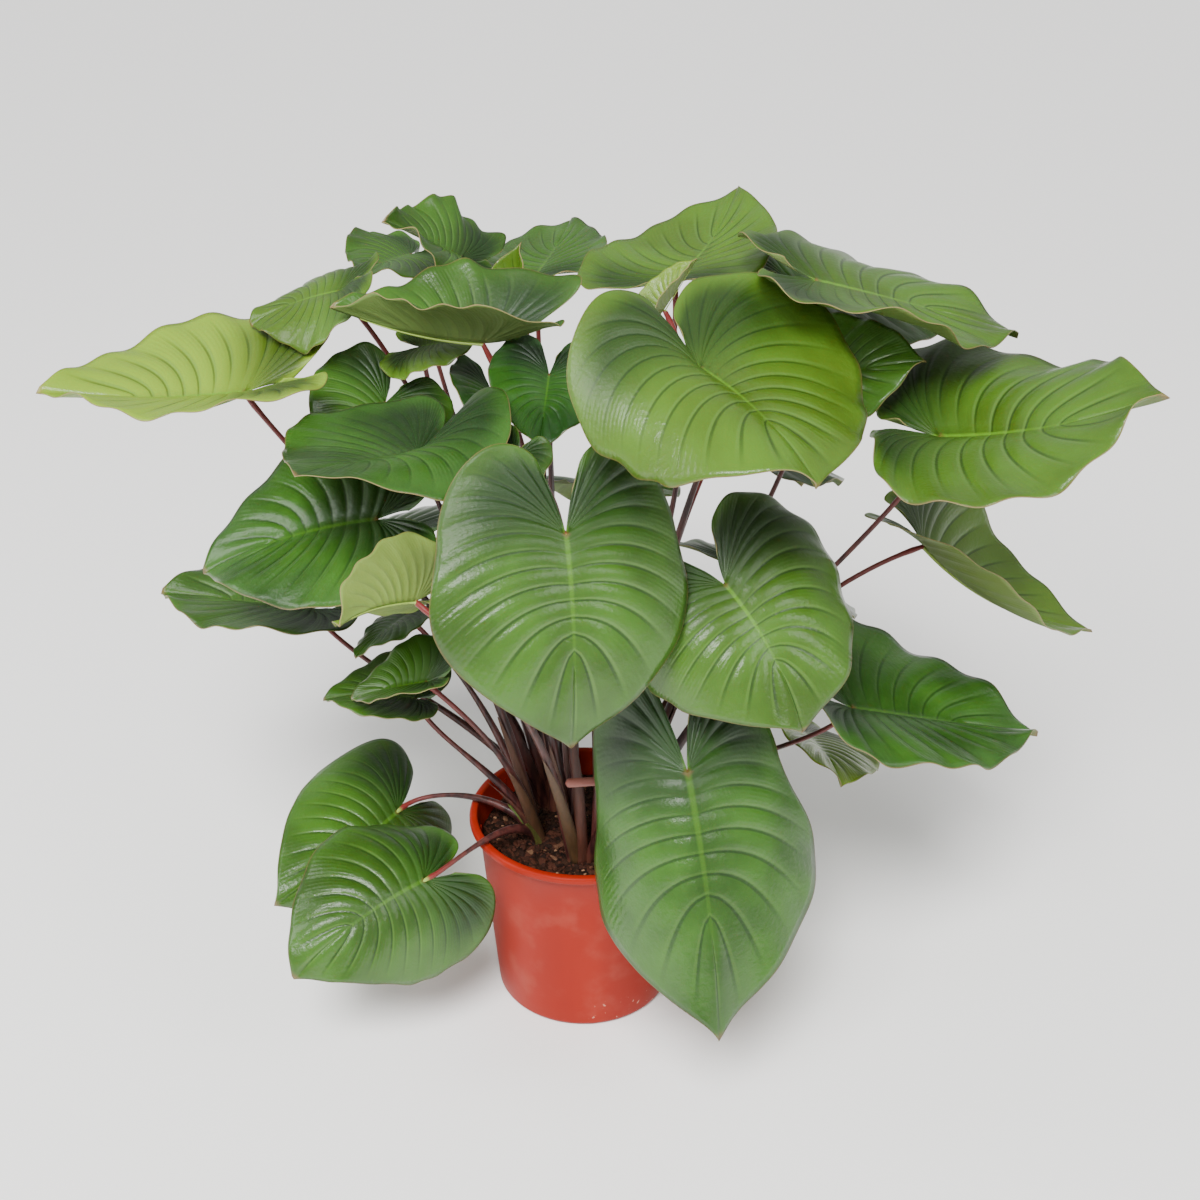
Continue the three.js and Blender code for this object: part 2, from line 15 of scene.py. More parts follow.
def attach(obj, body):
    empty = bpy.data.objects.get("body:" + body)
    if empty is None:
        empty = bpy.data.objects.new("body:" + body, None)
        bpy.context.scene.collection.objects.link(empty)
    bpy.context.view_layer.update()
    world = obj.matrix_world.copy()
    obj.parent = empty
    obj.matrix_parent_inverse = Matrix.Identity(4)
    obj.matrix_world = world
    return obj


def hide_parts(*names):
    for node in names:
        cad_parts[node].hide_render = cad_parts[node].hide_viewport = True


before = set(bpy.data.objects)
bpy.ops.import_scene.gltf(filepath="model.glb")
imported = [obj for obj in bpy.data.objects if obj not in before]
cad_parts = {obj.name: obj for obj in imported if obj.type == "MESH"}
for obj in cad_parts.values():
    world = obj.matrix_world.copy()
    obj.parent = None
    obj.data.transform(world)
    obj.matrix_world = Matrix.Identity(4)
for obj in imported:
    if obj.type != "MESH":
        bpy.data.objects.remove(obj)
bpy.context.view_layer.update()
MM = 0.001

# %% [markdown]
# ## Camera
# The photo looks down at the pot by about 30 degrees from a metre and a half away. Its lens was
# found from the ellipse of the pot's rim: a rim seen from nearer looks rounder at the front than
# at the back. A 60 mm lens on a 36 mm sensor gives the same ellipse, so no shift is needed.

# %% Place the camera
LENS_MM, SENSOR_MM = 60, 36
CAMERA_PLACE, LOOKS_DOWN = (0.0156, -1.510, 1.273), 29.67
FAR_ENOUGH = 50
camera = bpy.data.objects.new("camera", bpy.data.cameras.new("camera"))
bpy.context.scene.collection.objects.link(camera)
camera.data.lens = LENS_MM
camera.data.sensor_width = SENSOR_MM
camera.data.clip_end = FAR_ENOUGH
camera.location = CAMERA_PLACE
camera.rotation_euler = (math.radians(90 - LOOKS_DOWN), 0, 0)
bpy.context.scene.camera = camera
print("camera at", tuple(camera.location))

# %% [markdown]
# ## Small helpers
# Finishes and modifiers are both made of nodes. One helper that adds a node, sets it and links
# it keeps the recipes below short. A second group of helpers makes objects: it links them to
# the scene, keeps numbers on their points, and turns what a modifier shows into a plain mesh.

# %% Helpers for nodes
def node(tree, kind, inputs=None, **settings):
    made = tree.nodes.new(kind)
    for key, value in settings.items():
        setattr(made, key, value)
    for key, value in (inputs or {}).items():
        if isinstance(value, bpy.types.NodeSocket):
            tree.links.new(value, made.inputs[key])
        else:
            made.inputs[key].default_value = value
    return made


def calc(tree, operation, first, second=0.0):
    made = node(tree, "ShaderNodeMath", {0: first, 1: second}, operation=operation)
    return made.outputs[0]


def ramp(tree, value, low, high, start=0.0, end=1.0):
    """Smooth step of a value from low to high."""
    made = node(tree, "ShaderNodeMapRange", {"Value": value, "From Min": low, "From Max": high,
                "To Min": start, "To Max": end}, interpolation_type="SMOOTHSTEP")
    return made.outputs["Result"]


def mix(tree, factor, first, second):
    made = node(tree, "ShaderNodeMix", data_type="RGBA")
    for key, value in ((0, factor), (6, first), (7, second)):
        if isinstance(value, bpy.types.NodeSocket):
            tree.links.new(value, made.inputs[key])
        else:
            made.inputs[key].default_value = value
    return made.outputs[2]


def rgb(red, green, blue):
    """Screen colour from 0 to 255 as the linear colour that a shader takes."""
    linear = [(c / 255 / 12.92) if c <= 10 else ((c / 255 + 0.055) / 1.055) ** 2.4
              for c in (red, green, blue)]
    return (*linear, 1.0)


def finish_tree(name, roughness, **sockets):
    """A new material, its node tree and its shader with these even values."""
    material = bpy.data.materials.new(name)
    material.use_nodes = True
    tree = material.node_tree
    shader = tree.nodes["Principled BSDF"]
    shader.inputs["Roughness"].default_value = roughness
    for key, value in sockets.items():
        shader.inputs[key.replace("_", " ")].default_value = value
    return material, tree, shader


def noise_on(tree, scale, detail=3.0, coordinates=None):
    """Noise in the object's own metres."""
    where = coordinates or node(tree, "ShaderNodeTexCoord").outputs["Object"]
    made = node(tree, "ShaderNodeTexNoise", {"Vector": where, "Scale": scale, "Detail": detail})
    return made.outputs["Fac"]


def drawn_noise(tree, scale, squeeze, detail):
    """Noise drawn out along the height, as fibres are."""
    where = node(tree, "ShaderNodeTexCoord").outputs["Object"]
    longer = node(tree, "ShaderNodeMapping", {"Vector": where, "Scale": (1.0, 1.0, squeeze)})
    return noise_on(tree, scale, detail, longer.outputs[0])


def bump(tree, shader, height, distance, strength=1.0):
    made = node(tree, "ShaderNodeBump", {"Height": height, "Distance": distance,
                "Strength": strength})
    tree.links.new(made.outputs["Normal"], shader.inputs["Normal"])


print("helpers for nodes ready")

# %% Helpers for objects and geometry trees
def linked(name, data):
    """A new object with this data, in the scene."""
    made = bpy.data.objects.new(name, data)
    bpy.context.scene.collection.objects.link(made)
    return made


def mesh_object(name, points, faces, materials, smooth=True):
    mesh = bpy.data.meshes.new(name)
    mesh.from_pydata([tuple(p) for p in points], [], faces)
    mesh.polygons.foreach_set("use_smooth", [smooth] * len(mesh.polygons))
    for material in materials:
        mesh.materials.append(material)
    return linked(name, mesh)


def keep_on_points(mesh, title, values):
    """One number a point, which a finish or a geometry tree reads by its title."""
    layer = mesh.attributes.new(title, "FLOAT", "POINT")
    layer.data.foreach_set("value", values)


def thicken(piece, thickness):
    """Gives a sheet its thickness in millimetres, half of it to each side."""
    shell = piece.modifiers.new("thickness", "SOLIDIFY")
    shell.thickness = thickness * MM
    shell.offset = 0
    return shell


def grow(piece, group, values):
    """Runs a geometry tree on a piece and keeps its result as the piece's plain mesh."""
    modifier = piece.modifiers.new(group.name, "NODES")
    modifier.node_group = group
    for item in group.interface.items_tree:
        if item.in_out == "INPUT" and item.name in values:
            modifier[item.identifier] = values[item.name]
    shown = piece.evaluated_get(bpy.context.evaluated_depsgraph_get())
    mesh = bpy.data.meshes.new_from_object(shown)
    piece.modifiers.remove(modifier)
    piece.data = mesh
    return piece


def geometry_tree(name, inputs):
    """A geometry tree with a geometry socket each way and these named inputs."""
    tree = bpy.data.node_groups.new(name, "GeometryNodeTree")
    tree.interface.new_socket("Geometry", in_out="INPUT", socket_type="NodeSocketGeometry")
    for title, kind in inputs:
        tree.interface.new_socket(title, in_out="INPUT", socket_type=f"NodeSocket{kind}")
    tree.interface.new_socket("Geometry", in_out="OUTPUT", socket_type="NodeSocketGeometry")
    given = tree.nodes.new("NodeGroupInput").outputs
    return tree, given


def end_tree(tree, geometry, material):
    """Every tree ends in plain geometry with its material."""
    real = node(tree, "GeometryNodeRealizeInstances", {"Geometry": geometry})
    made = node(tree, "GeometryNodeSetMaterial", {"Geometry": real.outputs[0],
                "Material": material})
    node(tree, "NodeGroupOutput", {"Geometry": made.outputs[0]})


def settle(piece, slot, *nodes):
    """The piece moves with the plant and stands for these nodes. Its slot is not used."""
    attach(piece, "root")
    if nodes:
        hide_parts(*nodes)


print("helpers for objects ready")

# %% [markdown]
# ## Floor and light
# The photo was taken in a bright studio: a white surround, soft light from above and no hard
# shadow. A pale floor, an even world and a wide soft sun light the plant evenly. The sun is
# kept out of reflections, so the bright sheen on the leaves comes from three wide lamps, as it
# comes from the soft boxes of a studio.

# %% Floor, world and lamps
FLOOR_HALF = 6.0
SURROUND_STRENGTH = 0.5
SUN_STRENGTH, SUN_SPREAD, SUN_TILT = 4.6, 20, (38, -6)
corners = [(-FLOOR_HALF, -FLOOR_HALF, 0), (FLOOR_HALF, -FLOOR_HALF, 0),
           (FLOOR_HALF, FLOOR_HALF, 0), (-FLOOR_HALF, FLOOR_HALF, 0)]
floor_finish, _, floor_shader = finish_tree("pale_floor", 0.9)
floor_shader.inputs["Base Color"].default_value = rgb(244, 243, 241)
floor = mesh_object("floor", corners, [(0, 1, 2, 3)], [floor_finish], smooth=False)

world = bpy.data.worlds.new("studio")
bpy.context.scene.world = world
world.use_nodes = True
surround = world.node_tree.nodes["Background"].inputs
surround["Color"].default_value = (1.0, 1.0, 1.0, 1.0)
surround["Strength"].default_value = SURROUND_STRENGTH


def lamp(name, place, target, size, power):
    """A rectangular lamp that faces its target."""
    data = bpy.data.lights.new(name, "AREA")
    data.shape = "RECTANGLE"
    data.size, data.size_y = size
    data.energy = power
    made = linked(name, data)
    made.location = place
    away = Vector(target) - Vector(place)
    made.rotation_euler = away.to_track_quat("-Z", "Y").to_euler()
    return made


lamps = [
    lamp("key_lamp", (-0.7, -2.0, 2.4), (0, 0, 0.4), (1.1, 0.7), 62),
    lamp("left_lamp", (-1.9, -0.3, 1.3), (0, 0, 0.3), (0.6, 1.6), 18),
    lamp("right_lamp", (1.7, -1.3, 2.1), (0.1, 0, 0.4), (1.0, 1.4), 20),
]
sun = linked("soft_sun", bpy.data.lights.new("soft_sun", "SUN"))
sun.data.energy = SUN_STRENGTH
sun.data.angle = math.radians(SUN_SPREAD)
sun.rotation_euler = (math.radians(SUN_TILT[0]), math.radians(SUN_TILT[1]), 0)
sun.visible_glossy = False
print("lamps:", [one.name for one in lamps], sun.name)

# %% [markdown]
# ## Where every leaf hangs
# The stalks grow from five clumps in the soil. Each leaf is written down by the place where its
# stalk joins the blade, the way its midrib points, how it tilts, and how it folds and droops.
# Those few numbers say more than a sculpted mesh would, and each can be read off the photo.
# Places are in millimetres and angles in degrees. `turn` is heading, pitch and roll. `fold`,
# `curl` and `lift` have a number for each half of the blade: how steeply it leaves the midrib,
# how far it curls towards its margin, and how much steeper it stands near the notch. `droop` and
# `back` bend the tip and the lobes. `width`, `lobe` and `belly` change the outline, and `wave`
# is the height of the margin's waves. `rise`, `ease` and `notch` say how the stalk comes up to
# the blade, and `look` marks a young leaf.

# %% Clumps and leaves
CROWNS = {"front": (0, -45), "left": (-34, -14), "right": (37, -14),
          "back_left": (-27, 34), "back_right": (27, 36)}
LEAVES = [
    dict(name="front_mid", crown="front", at=(-10, -180, 572), turn=(-78, 55, -8), length=170,
         width=0.97, belly=0.3, fold=(3, 5), curl=(-33, -25), droop=35, back=12, wave=2),
    dict(name="top_mid", crown="right", at=(91, -118, 680), turn=(-50, 5, -30), length=150,
         width=1.5, fold=(25, -10), curl=(-20, -90), lift=(70, 90), droop=25, back=0, wave=4),
    dict(name="right_mid", crown="right", at=(115, -130, 500), turn=(-40, 35, 0), length=135,
         width=1.45, fold=(40, -15), curl=(-50, -60), droop=35, back=5, wave=4),
    dict(name="low_right", crown="front", at=(87, -165, 345), turn=(-71, 55, -6), length=228,
         width=0.66, belly=0.75, fold=(-5, -28), curl=(-22, -75), lift=(8, 0), droop=20, back=12,
         wave=4),
    dict(name="low_left_front", crown="left", at=(-140, -100, 185), turn=(-140, 0, -20),
         length=145, width=1.05, fold=(-30, 25), curl=(-45, -35), lift=(10, -60), droop=50,
         back=5, wave=3, rise=50, ease=0.2, notch=True),
    dict(name="low_left_rear", crown="left", at=(-172, 0, 187), turn=(-125, 5, -52), length=145,
         width=1.05, fold=(-15, -15), curl=(-50, -50), lift=(15, 0), droop=35, back=-35, wave=2,
         rise=45, ease=0.28, notch=True),
    dict(name="far_left", crown="back_left", at=(-280, 20, 600), turn=(-175, 5, 0), length=170,
         fold=(20, 25), curl=(-10, -20), lift=(5, 10), droop=-15, back=15, wave=5, look="young"),
    dict(name="left_upper", crown="front", at=(-128, -82, 593), turn=(-130, -15, 48), length=136,
         width=1.2, fold=(-35, 45), curl=(-60, -5), lift=(112, 35), droop=5, back=30, wave=3),
    dict(name="left_big", crown="left", at=(-165, -75, 530), turn=(-185, 10, -15), length=165,
         width=0.95, lobe=0.8, fold=(10, 25), curl=(-25, -15), droop=25, back=0, wave=3),
    dict(name="left_low", crown="back_left", at=(-240, 25, 390), turn=(160, 5, -5), length=155,
         fold=(25, 20), curl=(-10, -10), droop=0, back=15, wave=5),
    dict(name="left_olive", crown="front", at=(-125, -190, 520), turn=(215, -15, 70), length=80,
         width=1.05, fold=(40, 30), curl=(15, 10), droop=30, back=15, wave=3, look="young"),
    dict(name="left_small", crown="left", at=(-130, -90, 385), turn=(-200, 20, -10), length=80,
         width=0.95, fold=(25, 25), curl=(0, 0), droop=10, back=15, wave=2),
    dict(name="left_dark", crown="left", at=(-145, -45, 340), turn=(170, -5, 0), length=85,
         lobe=0.7, fold=(20, 25), curl=(-20, -5), droop=25, back=10, wave=2),
    dict(name="left_mid_dark", crown="left", at=(-150, -30, 415), turn=(-140, 10, 15), length=60,
         lobe=0.6, fold=(10, 5), curl=(-20, -30), droop=20, back=10, wave=2),
    dict(name="right_upper", crown="right", at=(288, -55, 594), turn=(-20, -10, 20), length=185,
         width=1.2, fold=(5, 20), curl=(-45, -30), lift=(45, 68), droop=-25, back=-35, wave=8),
    dict(name="right_fold", crown="right", at=(300, 40, 445), turn=(0, 50, -15), length=195,
         width=0.75, fold=(30, 0), curl=(20, 50), lift=(58, -15), droop=-40, back=-40, wave=3,
         rise=35),
    dict(name="right_low", crown="right", at=(235, -50, 333), turn=(10, 15, 0), length=180,
         width=0.95, lobe=0.8, fold=(20, 15), curl=(-10, -35), lift=(15, 25), droop=0, back=15,
         wave=6, rise=30),
    dict(name="right_olive", crown="right", at=(207, 50, 241), turn=(-70, -15, -30), length=100,
         width=1.2, fold=(10, 10), curl=(-10, 0), droop=25, back=10, wave=3, rise=50, ease=0.15,
         look="young"),
    dict(name="top_left", crown="back_left", at=(-105, 148, 671), turn=(210, -35, -15), length=85,
         fold=(20, 40), curl=(-45, -20), droop=5, back=25, wave=6),
    dict(name="left_back", crown="back_left", at=(-205, 85, 664), turn=(180, 10, -10), length=85,
         width=1.25, fold=(0, 10), curl=(-55, -55), lift=(90, 30), droop=25, back=0, wave=4),
    dict(name="left_back_low", crown="back_left", at=(-156, 220, 648), turn=(240, -10, -5),
         length=85, width=1.05, fold=(10, 15), curl=(-40, -10), droop=10, back=-10, wave=4),
    dict(name="crown_left", crown="front", at=(-80, 15, 646), turn=(178, -2, -5), length=128,
         width=0.9, lobe=1.1, fold=(66, 35), curl=(-20, -15), lift=(-30, 50), droop=-25, back=45,
         wave=5),
    dict(name="upright", crown="back_left", at=(-58, 108, 626), turn=(60, -80, 0), length=70,
         lobe=0.3, fold=(50, 50), curl=(0, 0), droop=0, back=0, wave=2),
    dict(name="back_mid", crown="back_left", at=(-42, 200, 636), turn=(75, 0, -10), length=125,
         width=0.85, lobe=0.8, fold=(10, 15), curl=(0, -15), droop=-10, back=15, wave=3),
    dict(name="back_right", crown="back_right", at=(80, 130, 660), turn=(60, 0, -20), length=155,
         width=0.9, fold=(10, 5), curl=(30, -20), droop=-30, back=15, wave=3),
    dict(name="right_top", crown="back_right", at=(190, 15, 700), turn=(5, 15, 5), length=180,
         width=1.1, lobe=0.8, fold=(5, 0), curl=(-25, 30), droop=5, back=15, wave=6),
    dict(name="right_top_back", crown="back_right", at=(190, 152, 644), turn=(5, 10, 5),
         length=150, lobe=0.7, fold=(5, 5), curl=(-20, -20), droop=20, back=10, wave=4),
    dict(name="right_under", crown="right", at=(184, 10, 614), turn=(-25, -25, 30), length=105,
         fold=(10, 10), curl=(-5, -45), droop=15, back=10, wave=3),
    dict(name="shade_mid", crown="back_left", at=(-26, 0, 624), turn=(-95, 20, -5), length=76,
         width=1.1, fold=(20, 20), curl=(-30, -20), droop=20, back=20, wave=3),
    dict(name="shade_left", crown="back_left", at=(-167, 50, 577), turn=(245, 20, -15), length=90,
         width=1.15, fold=(10, 25), curl=(-20, -10), droop=20, back=15, wave=3),
    dict(name="behind_front", crown="front", at=(-52, -105, 598), turn=(-130, 35, 0), length=60,
         fold=(10, 10), curl=(-20, -20), droop=20, back=10, wave=2),
    dict(name="rear_low", crown="back_left", at=(-5, 195, 430), turn=(85, 20, 0), length=180,
         width=0.9, fold=(5, 5), curl=(-20, -20), droop=30, back=15, wave=3),
    dict(name="rear_right", crown="back_right", at=(128, 208, 468), turn=(52, 20, 0), length=190,
         fold=(5, 5), curl=(-20, -20), droop=30, back=15, wave=4),
    dict(name="rear_left", crown="back_left", at=(-178, 180, 385), turn=(135, 15, 0), length=170,
         fold=(5, 5), curl=(-20, -20), droop=30, back=15, wave=4),
    dict(name="rear_bottom", crown="back_right", at=(50, 180, 290), turn=(75, 25, 0), length=150,
         fold=(5, 5), curl=(-20, -20), droop=30, back=15, wave=3),
    dict(name="rear_side", crown="back_right", at=(165, 165, 350), turn=(35, 20, 0), length=150,
         fold=(5, 5), curl=(-20, -20), droop=30, back=15, wave=3),
    dict(name="young_fold", crown="back_right", at=(68, 40, 665), turn=(20, -55, 0), length=50,
         width=0.8, fold=(48, 48), curl=(0, 0), droop=0, back=0, wave=1),
    dict(name="olive_under", crown="back_left", at=(-138, 85, 614), turn=(-25, -20, 25),
         length=64, width=1.1, fold=(15, 15), curl=(-20, -15), droop=15, back=20, wave=3),
    dict(name="dark_behind", crown="back_left", at=(-78, 72, 578), turn=(-85, 5, 0), length=70,
         fold=(35, 35), curl=(0, -5), droop=10, back=15, wave=3, rise=35),
]
print("leaves:", len(LEAVES), "in", len(CROWNS), "clumps")

# %% [markdown]
# ## The heart-shaped outline
# Half a blade's edge is a smooth curve through eleven points, from the bottom of the notch round
# the lobe and along the margin to the tip. A spline that leaves each point half-way between its
# neighbours' directions has no corner at the lobe. It is sampled by its length, so that a
# share t of the edge always means the same place.

# %% Outline by its length
OUTLINE = np.array([
    (-0.20, 0.05), (-0.36, 0.13), (-0.42, 0.28), (-0.34, 0.45), (-0.14, 0.57), (0.12, 0.60),
    (0.38, 0.54), (0.64, 0.38), (0.84, 0.19), (0.94, 0.06), (1.00, 0.00)])
LOBE_SHARE = 0.42  # up to this share of the edge the veins start at the stalk


def smooth_through(points, steps=40):
    """Points of a centripetal spline through these points."""
    ends = np.vstack([2 * points[0] - points[1], points, 2 * points[-1] - points[-2]])
    share = np.linspace(0, 1, steps, endpoint=False)[:, None]
    pieces = []
    for p0, p1, p2, p3 in zip(ends, ends[1:], ends[2:], ends[3:]):
        gaps = [np.sqrt(np.linalg.norm(b - a)) for a, b in ((p0, p1), (p1, p2), (p2, p3))]
        leave = (p1 - p0) / gaps[0] - (p2 - p0) / (gaps[0] + gaps[1]) + (p2 - p1) / gaps[1]
        arrive = (p2 - p1) / gaps[1] - (p3 - p1) / (gaps[1] + gaps[2]) + (p3 - p2) / gaps[2]
        leave, arrive = leave * gaps[1], arrive * gaps[1]
        square = -3 * p1 + 3 * p2 - 2 * leave - arrive
        cube = 2 * p1 - 2 * p2 + leave + arrive
        pieces.append(p1 + share * leave + share ** 2 * square + share ** 3 * cube)
    return np.vstack([*pieces, points[-1:]])


outline_points = smooth_through(OUTLINE)
outline_steps = np.linalg.norm(np.diff(outline_points, axis=0), axis=1)
outline_share = np.r_[0, np.cumsum(outline_steps)] / outline_steps.sum()


def outline_at(t):
    return np.stack([np.interp(t, outline_share, outline_points[:, k]) for k in (0, 1)], -1)


print("edge length of a half blade:", round(float(outline_steps.sum()), 3), "blade lengths")

# %% [markdown]
# ## Veins lay out the blade
# On the real leaf some fifteen side veins a half leave the stalk or the midrib at a wide angle
# and bow towards the tip. They carry the whole look, because the blade puffs up between them.
# So the mesh grid follows them: t counts along the edge, v runs from the rib to the edge, and
# every eighth row is a vein. A plain grid would need many more faces to show the same creases.

# %% Grid along the veins
VEINS, ROWS_A_VEIN, COLUMNS = 15, 8, 16
ROWS = VEINS * ROWS_A_VEIN
COLUMN_EASE = 0.9  # columns stand a little closer near the margin
RIB_SHARE, RIB_EASE = 0.6, 1.15  # how far along the midrib the last vein leaves it
VEIN_BOW, BOW_AFTER_NOTCH, BOW_BEFORE_TIP = 0.26, 3, 5
BELLY_PLACE = 1.4
TIP_SPREAD, TIP_FROM, TIP_OVER = 0.4, 0.6, 0.3  # moves the columns outwards near the tip


def vein_grid(leaf):
    """Flat places x, y of the grid on one half, in blade lengths, with their t and v."""
    t = np.linspace(0, 1, ROWS + 1)[:, None]
    v = np.linspace(0, 1, COLUMNS + 1)[None, :] ** COLUMN_EASE
    edge = outline_at(t[:, 0])[:, None, :]
    reach = edge[..., 0] * np.where(edge[..., 0] < 0, leaf.get("lobe", 1), 1)
    ahead = np.maximum(0, edge[..., 0])
    full = 1 + leaf.get("belly", 0) * np.sin(np.pi * ahead ** BELLY_PLACE)
    side = edge[..., 1] * leaf.get("width", 1) * full
    start = RIB_SHARE * np.maximum(0, (t - LOBE_SHARE) / (1 - LOBE_SHARE)) ** RIB_EASE
    bow = VEIN_BOW * np.minimum(1, BOW_AFTER_NOTCH * t) * np.minimum(1, BOW_BEFORE_TIP * (1 - t))
    bow = bow * np.hypot(reach - start, side)
    x = start + (reach - start) * v - 2 * v * (1 - v) * bow
    y = side * v ** (1 - TIP_SPREAD * np.clip((t - TIP_FROM) / TIP_OVER, 0, 1))
    return x, y, t + 0 * v, v + 0 * t


grid_x = vein_grid(LEAVES[0])[0]
print("grid:", grid_x.shape, "x from", round(grid_x.min(), 2), "to", round(grid_x.max(), 2))

# %% [markdown]
# ## Bending the flat blade
# Each half is a strip that lifts along the midrib and curls towards its margin, and the whole
# blade bends down towards its tip and up or down at its lobes. Bending along arcs keeps the
# leaf's real width, where a simple downward push would stretch it. The quilting and the wavy
# edge are then added square to the surface.

# %% Fold, curl, droop, quilting and waves
HALF_WIDTH, LOBE_LENGTH = 0.6, 0.5
STRAIGHT = 1e-4  # a strip that doesn't turn still needs a rate to divide by
MARGIN_WAVES, MARGIN_RIPPLES, RIPPLE_SHARE = 2.5, 7, 0.5
QUILT, QUILT_REACH = 0.014, 165
QUILT_FULLNESS, QUILT_PLACE = 0.8, 0.75  # how flat its top is, and how near the rib it peaks
LOBE_CALM = 2.2  # in the lobes the quilting fades out towards the joint


def arc(s, start, turn, reach):
    """Along and up for a strip that starts at one angle and turns evenly over its reach."""
    rate = (turn or STRAIGHT) / reach
    return (np.sin(start + rate * s) - np.sin(start)) / rate, \
        (np.cos(start) - np.cos(start + rate * s)) / rate


def bend_blade(leaf, x, y, t, v, side):
    """Places in the leaf's own axes, in millimetres: x to the tip, y to the left, z up."""
    length = leaf["length"]
    x, y = x * length, y * length
    half = 0 if side > 0 else 1
    steeper = leaf.get("lift", (0, 0))[half] * (1 - t) ** 2
    slope_up = np.radians(leaf["fold"][half] + steeper)
    across, lift = arc(y, slope_up, math.radians(leaf["curl"][half]), HALF_WIDTH * length)
    front = x > 0
    droop, back = math.radians(leaf["droop"]), math.radians(leaf["back"])
    ahead, ahead_fall = arc(np.abs(x), 0, droop, length)
    behind, behind_fall = arc(np.abs(x), 0, -back, LOBE_LENGTH * length)
    along = np.where(front, ahead, -behind)
    fall = np.where(front, ahead_fall, behind_fall)
    slope = np.where(front, droop * np.abs(x) / length,
                     -back * np.abs(x) / (LOBE_LENGTH * length))
    puff = np.abs(np.sin(np.pi * VEINS * t)) ** QUILT_FULLNESS
    puff = puff * np.sin(np.pi * v ** QUILT_PLACE) ** QUILT_FULLNESS
    puff = puff * np.where(t < LOBE_SHARE, np.minimum(1, LOBE_CALM * v), 1)
    wave = leaf["wave"] * v ** 3 * np.sin(t * MARGIN_WAVES * 2 * np.pi + side)
    ripple = np.sin(t * MARGIN_RIPPLES * 2 * np.pi + 2 * side)
    ripple = RIPPLE_SHARE * leaf["wave"] * v ** 6 * ripple
    up = lift + wave + ripple + QUILT * min(length, QUILT_REACH) * puff
    return np.stack([along + up * np.sin(slope), side * across, up * np.cos(slope) - fall], -1)


def leaf_turn(leaf):
    heading, pitch, roll = (math.radians(angle) for angle in leaf["turn"])
    return np.array(Euler((roll, pitch, heading), "XYZ").to_matrix())


def in_place(leaf, local):
    """From the leaf's own axes to the plant's, in metres."""
    return (local @ leaf_turn(leaf).T + np.array(leaf["at"])) * MM


middle = in_place(LEAVES[0], np.array([(0.0, 0.0, 0.0)]))
print("first leaf's joint:", middle.round(3))

# %% [markdown]
# ## The leaf's colours
# Seen from above the blade is a glossy green with a yellow-green midrib and a fine red-brown
# margin. Its side veins are grooves: painted shade darkens each groove, and a painted sheen
# makes a paler line beside each. Painted shade also darkens the lobes near the joint. From
# below it is paler and duller. The pattern follows the veins, so it reads the blade's own UV
# maps: `veins` holds t and v, and `place` holds the flat distance along and from the midrib. A
# number on each leaf says how young it is, and also paints the leaf lighter where light falls
# on it and darker where it stands in shade.

# %% Greens and the lines of the veins
DEEP_GREEN = rgb(23, 56, 14)
MID_GREEN = rgb(50, 92, 27)
# The colour of painted shade in the vein grooves and on the lobes.
SHADE_GREEN = rgb(16, 38, 12)
YOUNG_GREEN = rgb(118, 148, 36)
RIB_GREEN = rgb(96, 146, 34)
# The colour of a painted sheen, a paler line beside each vein.
SHEEN_GREEN = rgb(84, 118, 50)
OLIVE = rgb(112, 128, 72)
MARGIN_BROWN = rgb(134, 96, 70)
JOINT_RED = rgb(92, 56, 36)
VEIN_WIDTH, CREST_OFFSET, STRANDS_A_VEIN = 0.1, 0.13, 5
# Strengths of the painted shade in the vein grooves, the painted sheen beside them and the
# painted shade on the lobes, and how olive the underside is.
VALLEY_SHADE, CREST_LIGHT, LOBE_SHADE, UNDERSIDE_OLIVE = 0.6, 0.45, 0.8, 0.6
GLOSS_ABOVE, GLOSS_LOBES, GLOSS_BELOW = 0.29, 0.45, 0.55  # roughness: lower shines more


def uv_parts(tree, name):
    where = node(tree, "ShaderNodeUVMap", uv_map=name).outputs[0]
    return node(tree, "ShaderNodeSeparateXYZ", {0: where}).outputs


def vein_line(tree, t, width, offset=0.0):
    """1 on a side vein and 0 beside it."""
    phase = calc(tree, "ADD", calc(tree, "MULTIPLY", t, VEINS), offset)
    return ramp(tree, calc(tree, "PINGPONG", phase, 0.5), width * 0.3, width, 1.0, 0.0)


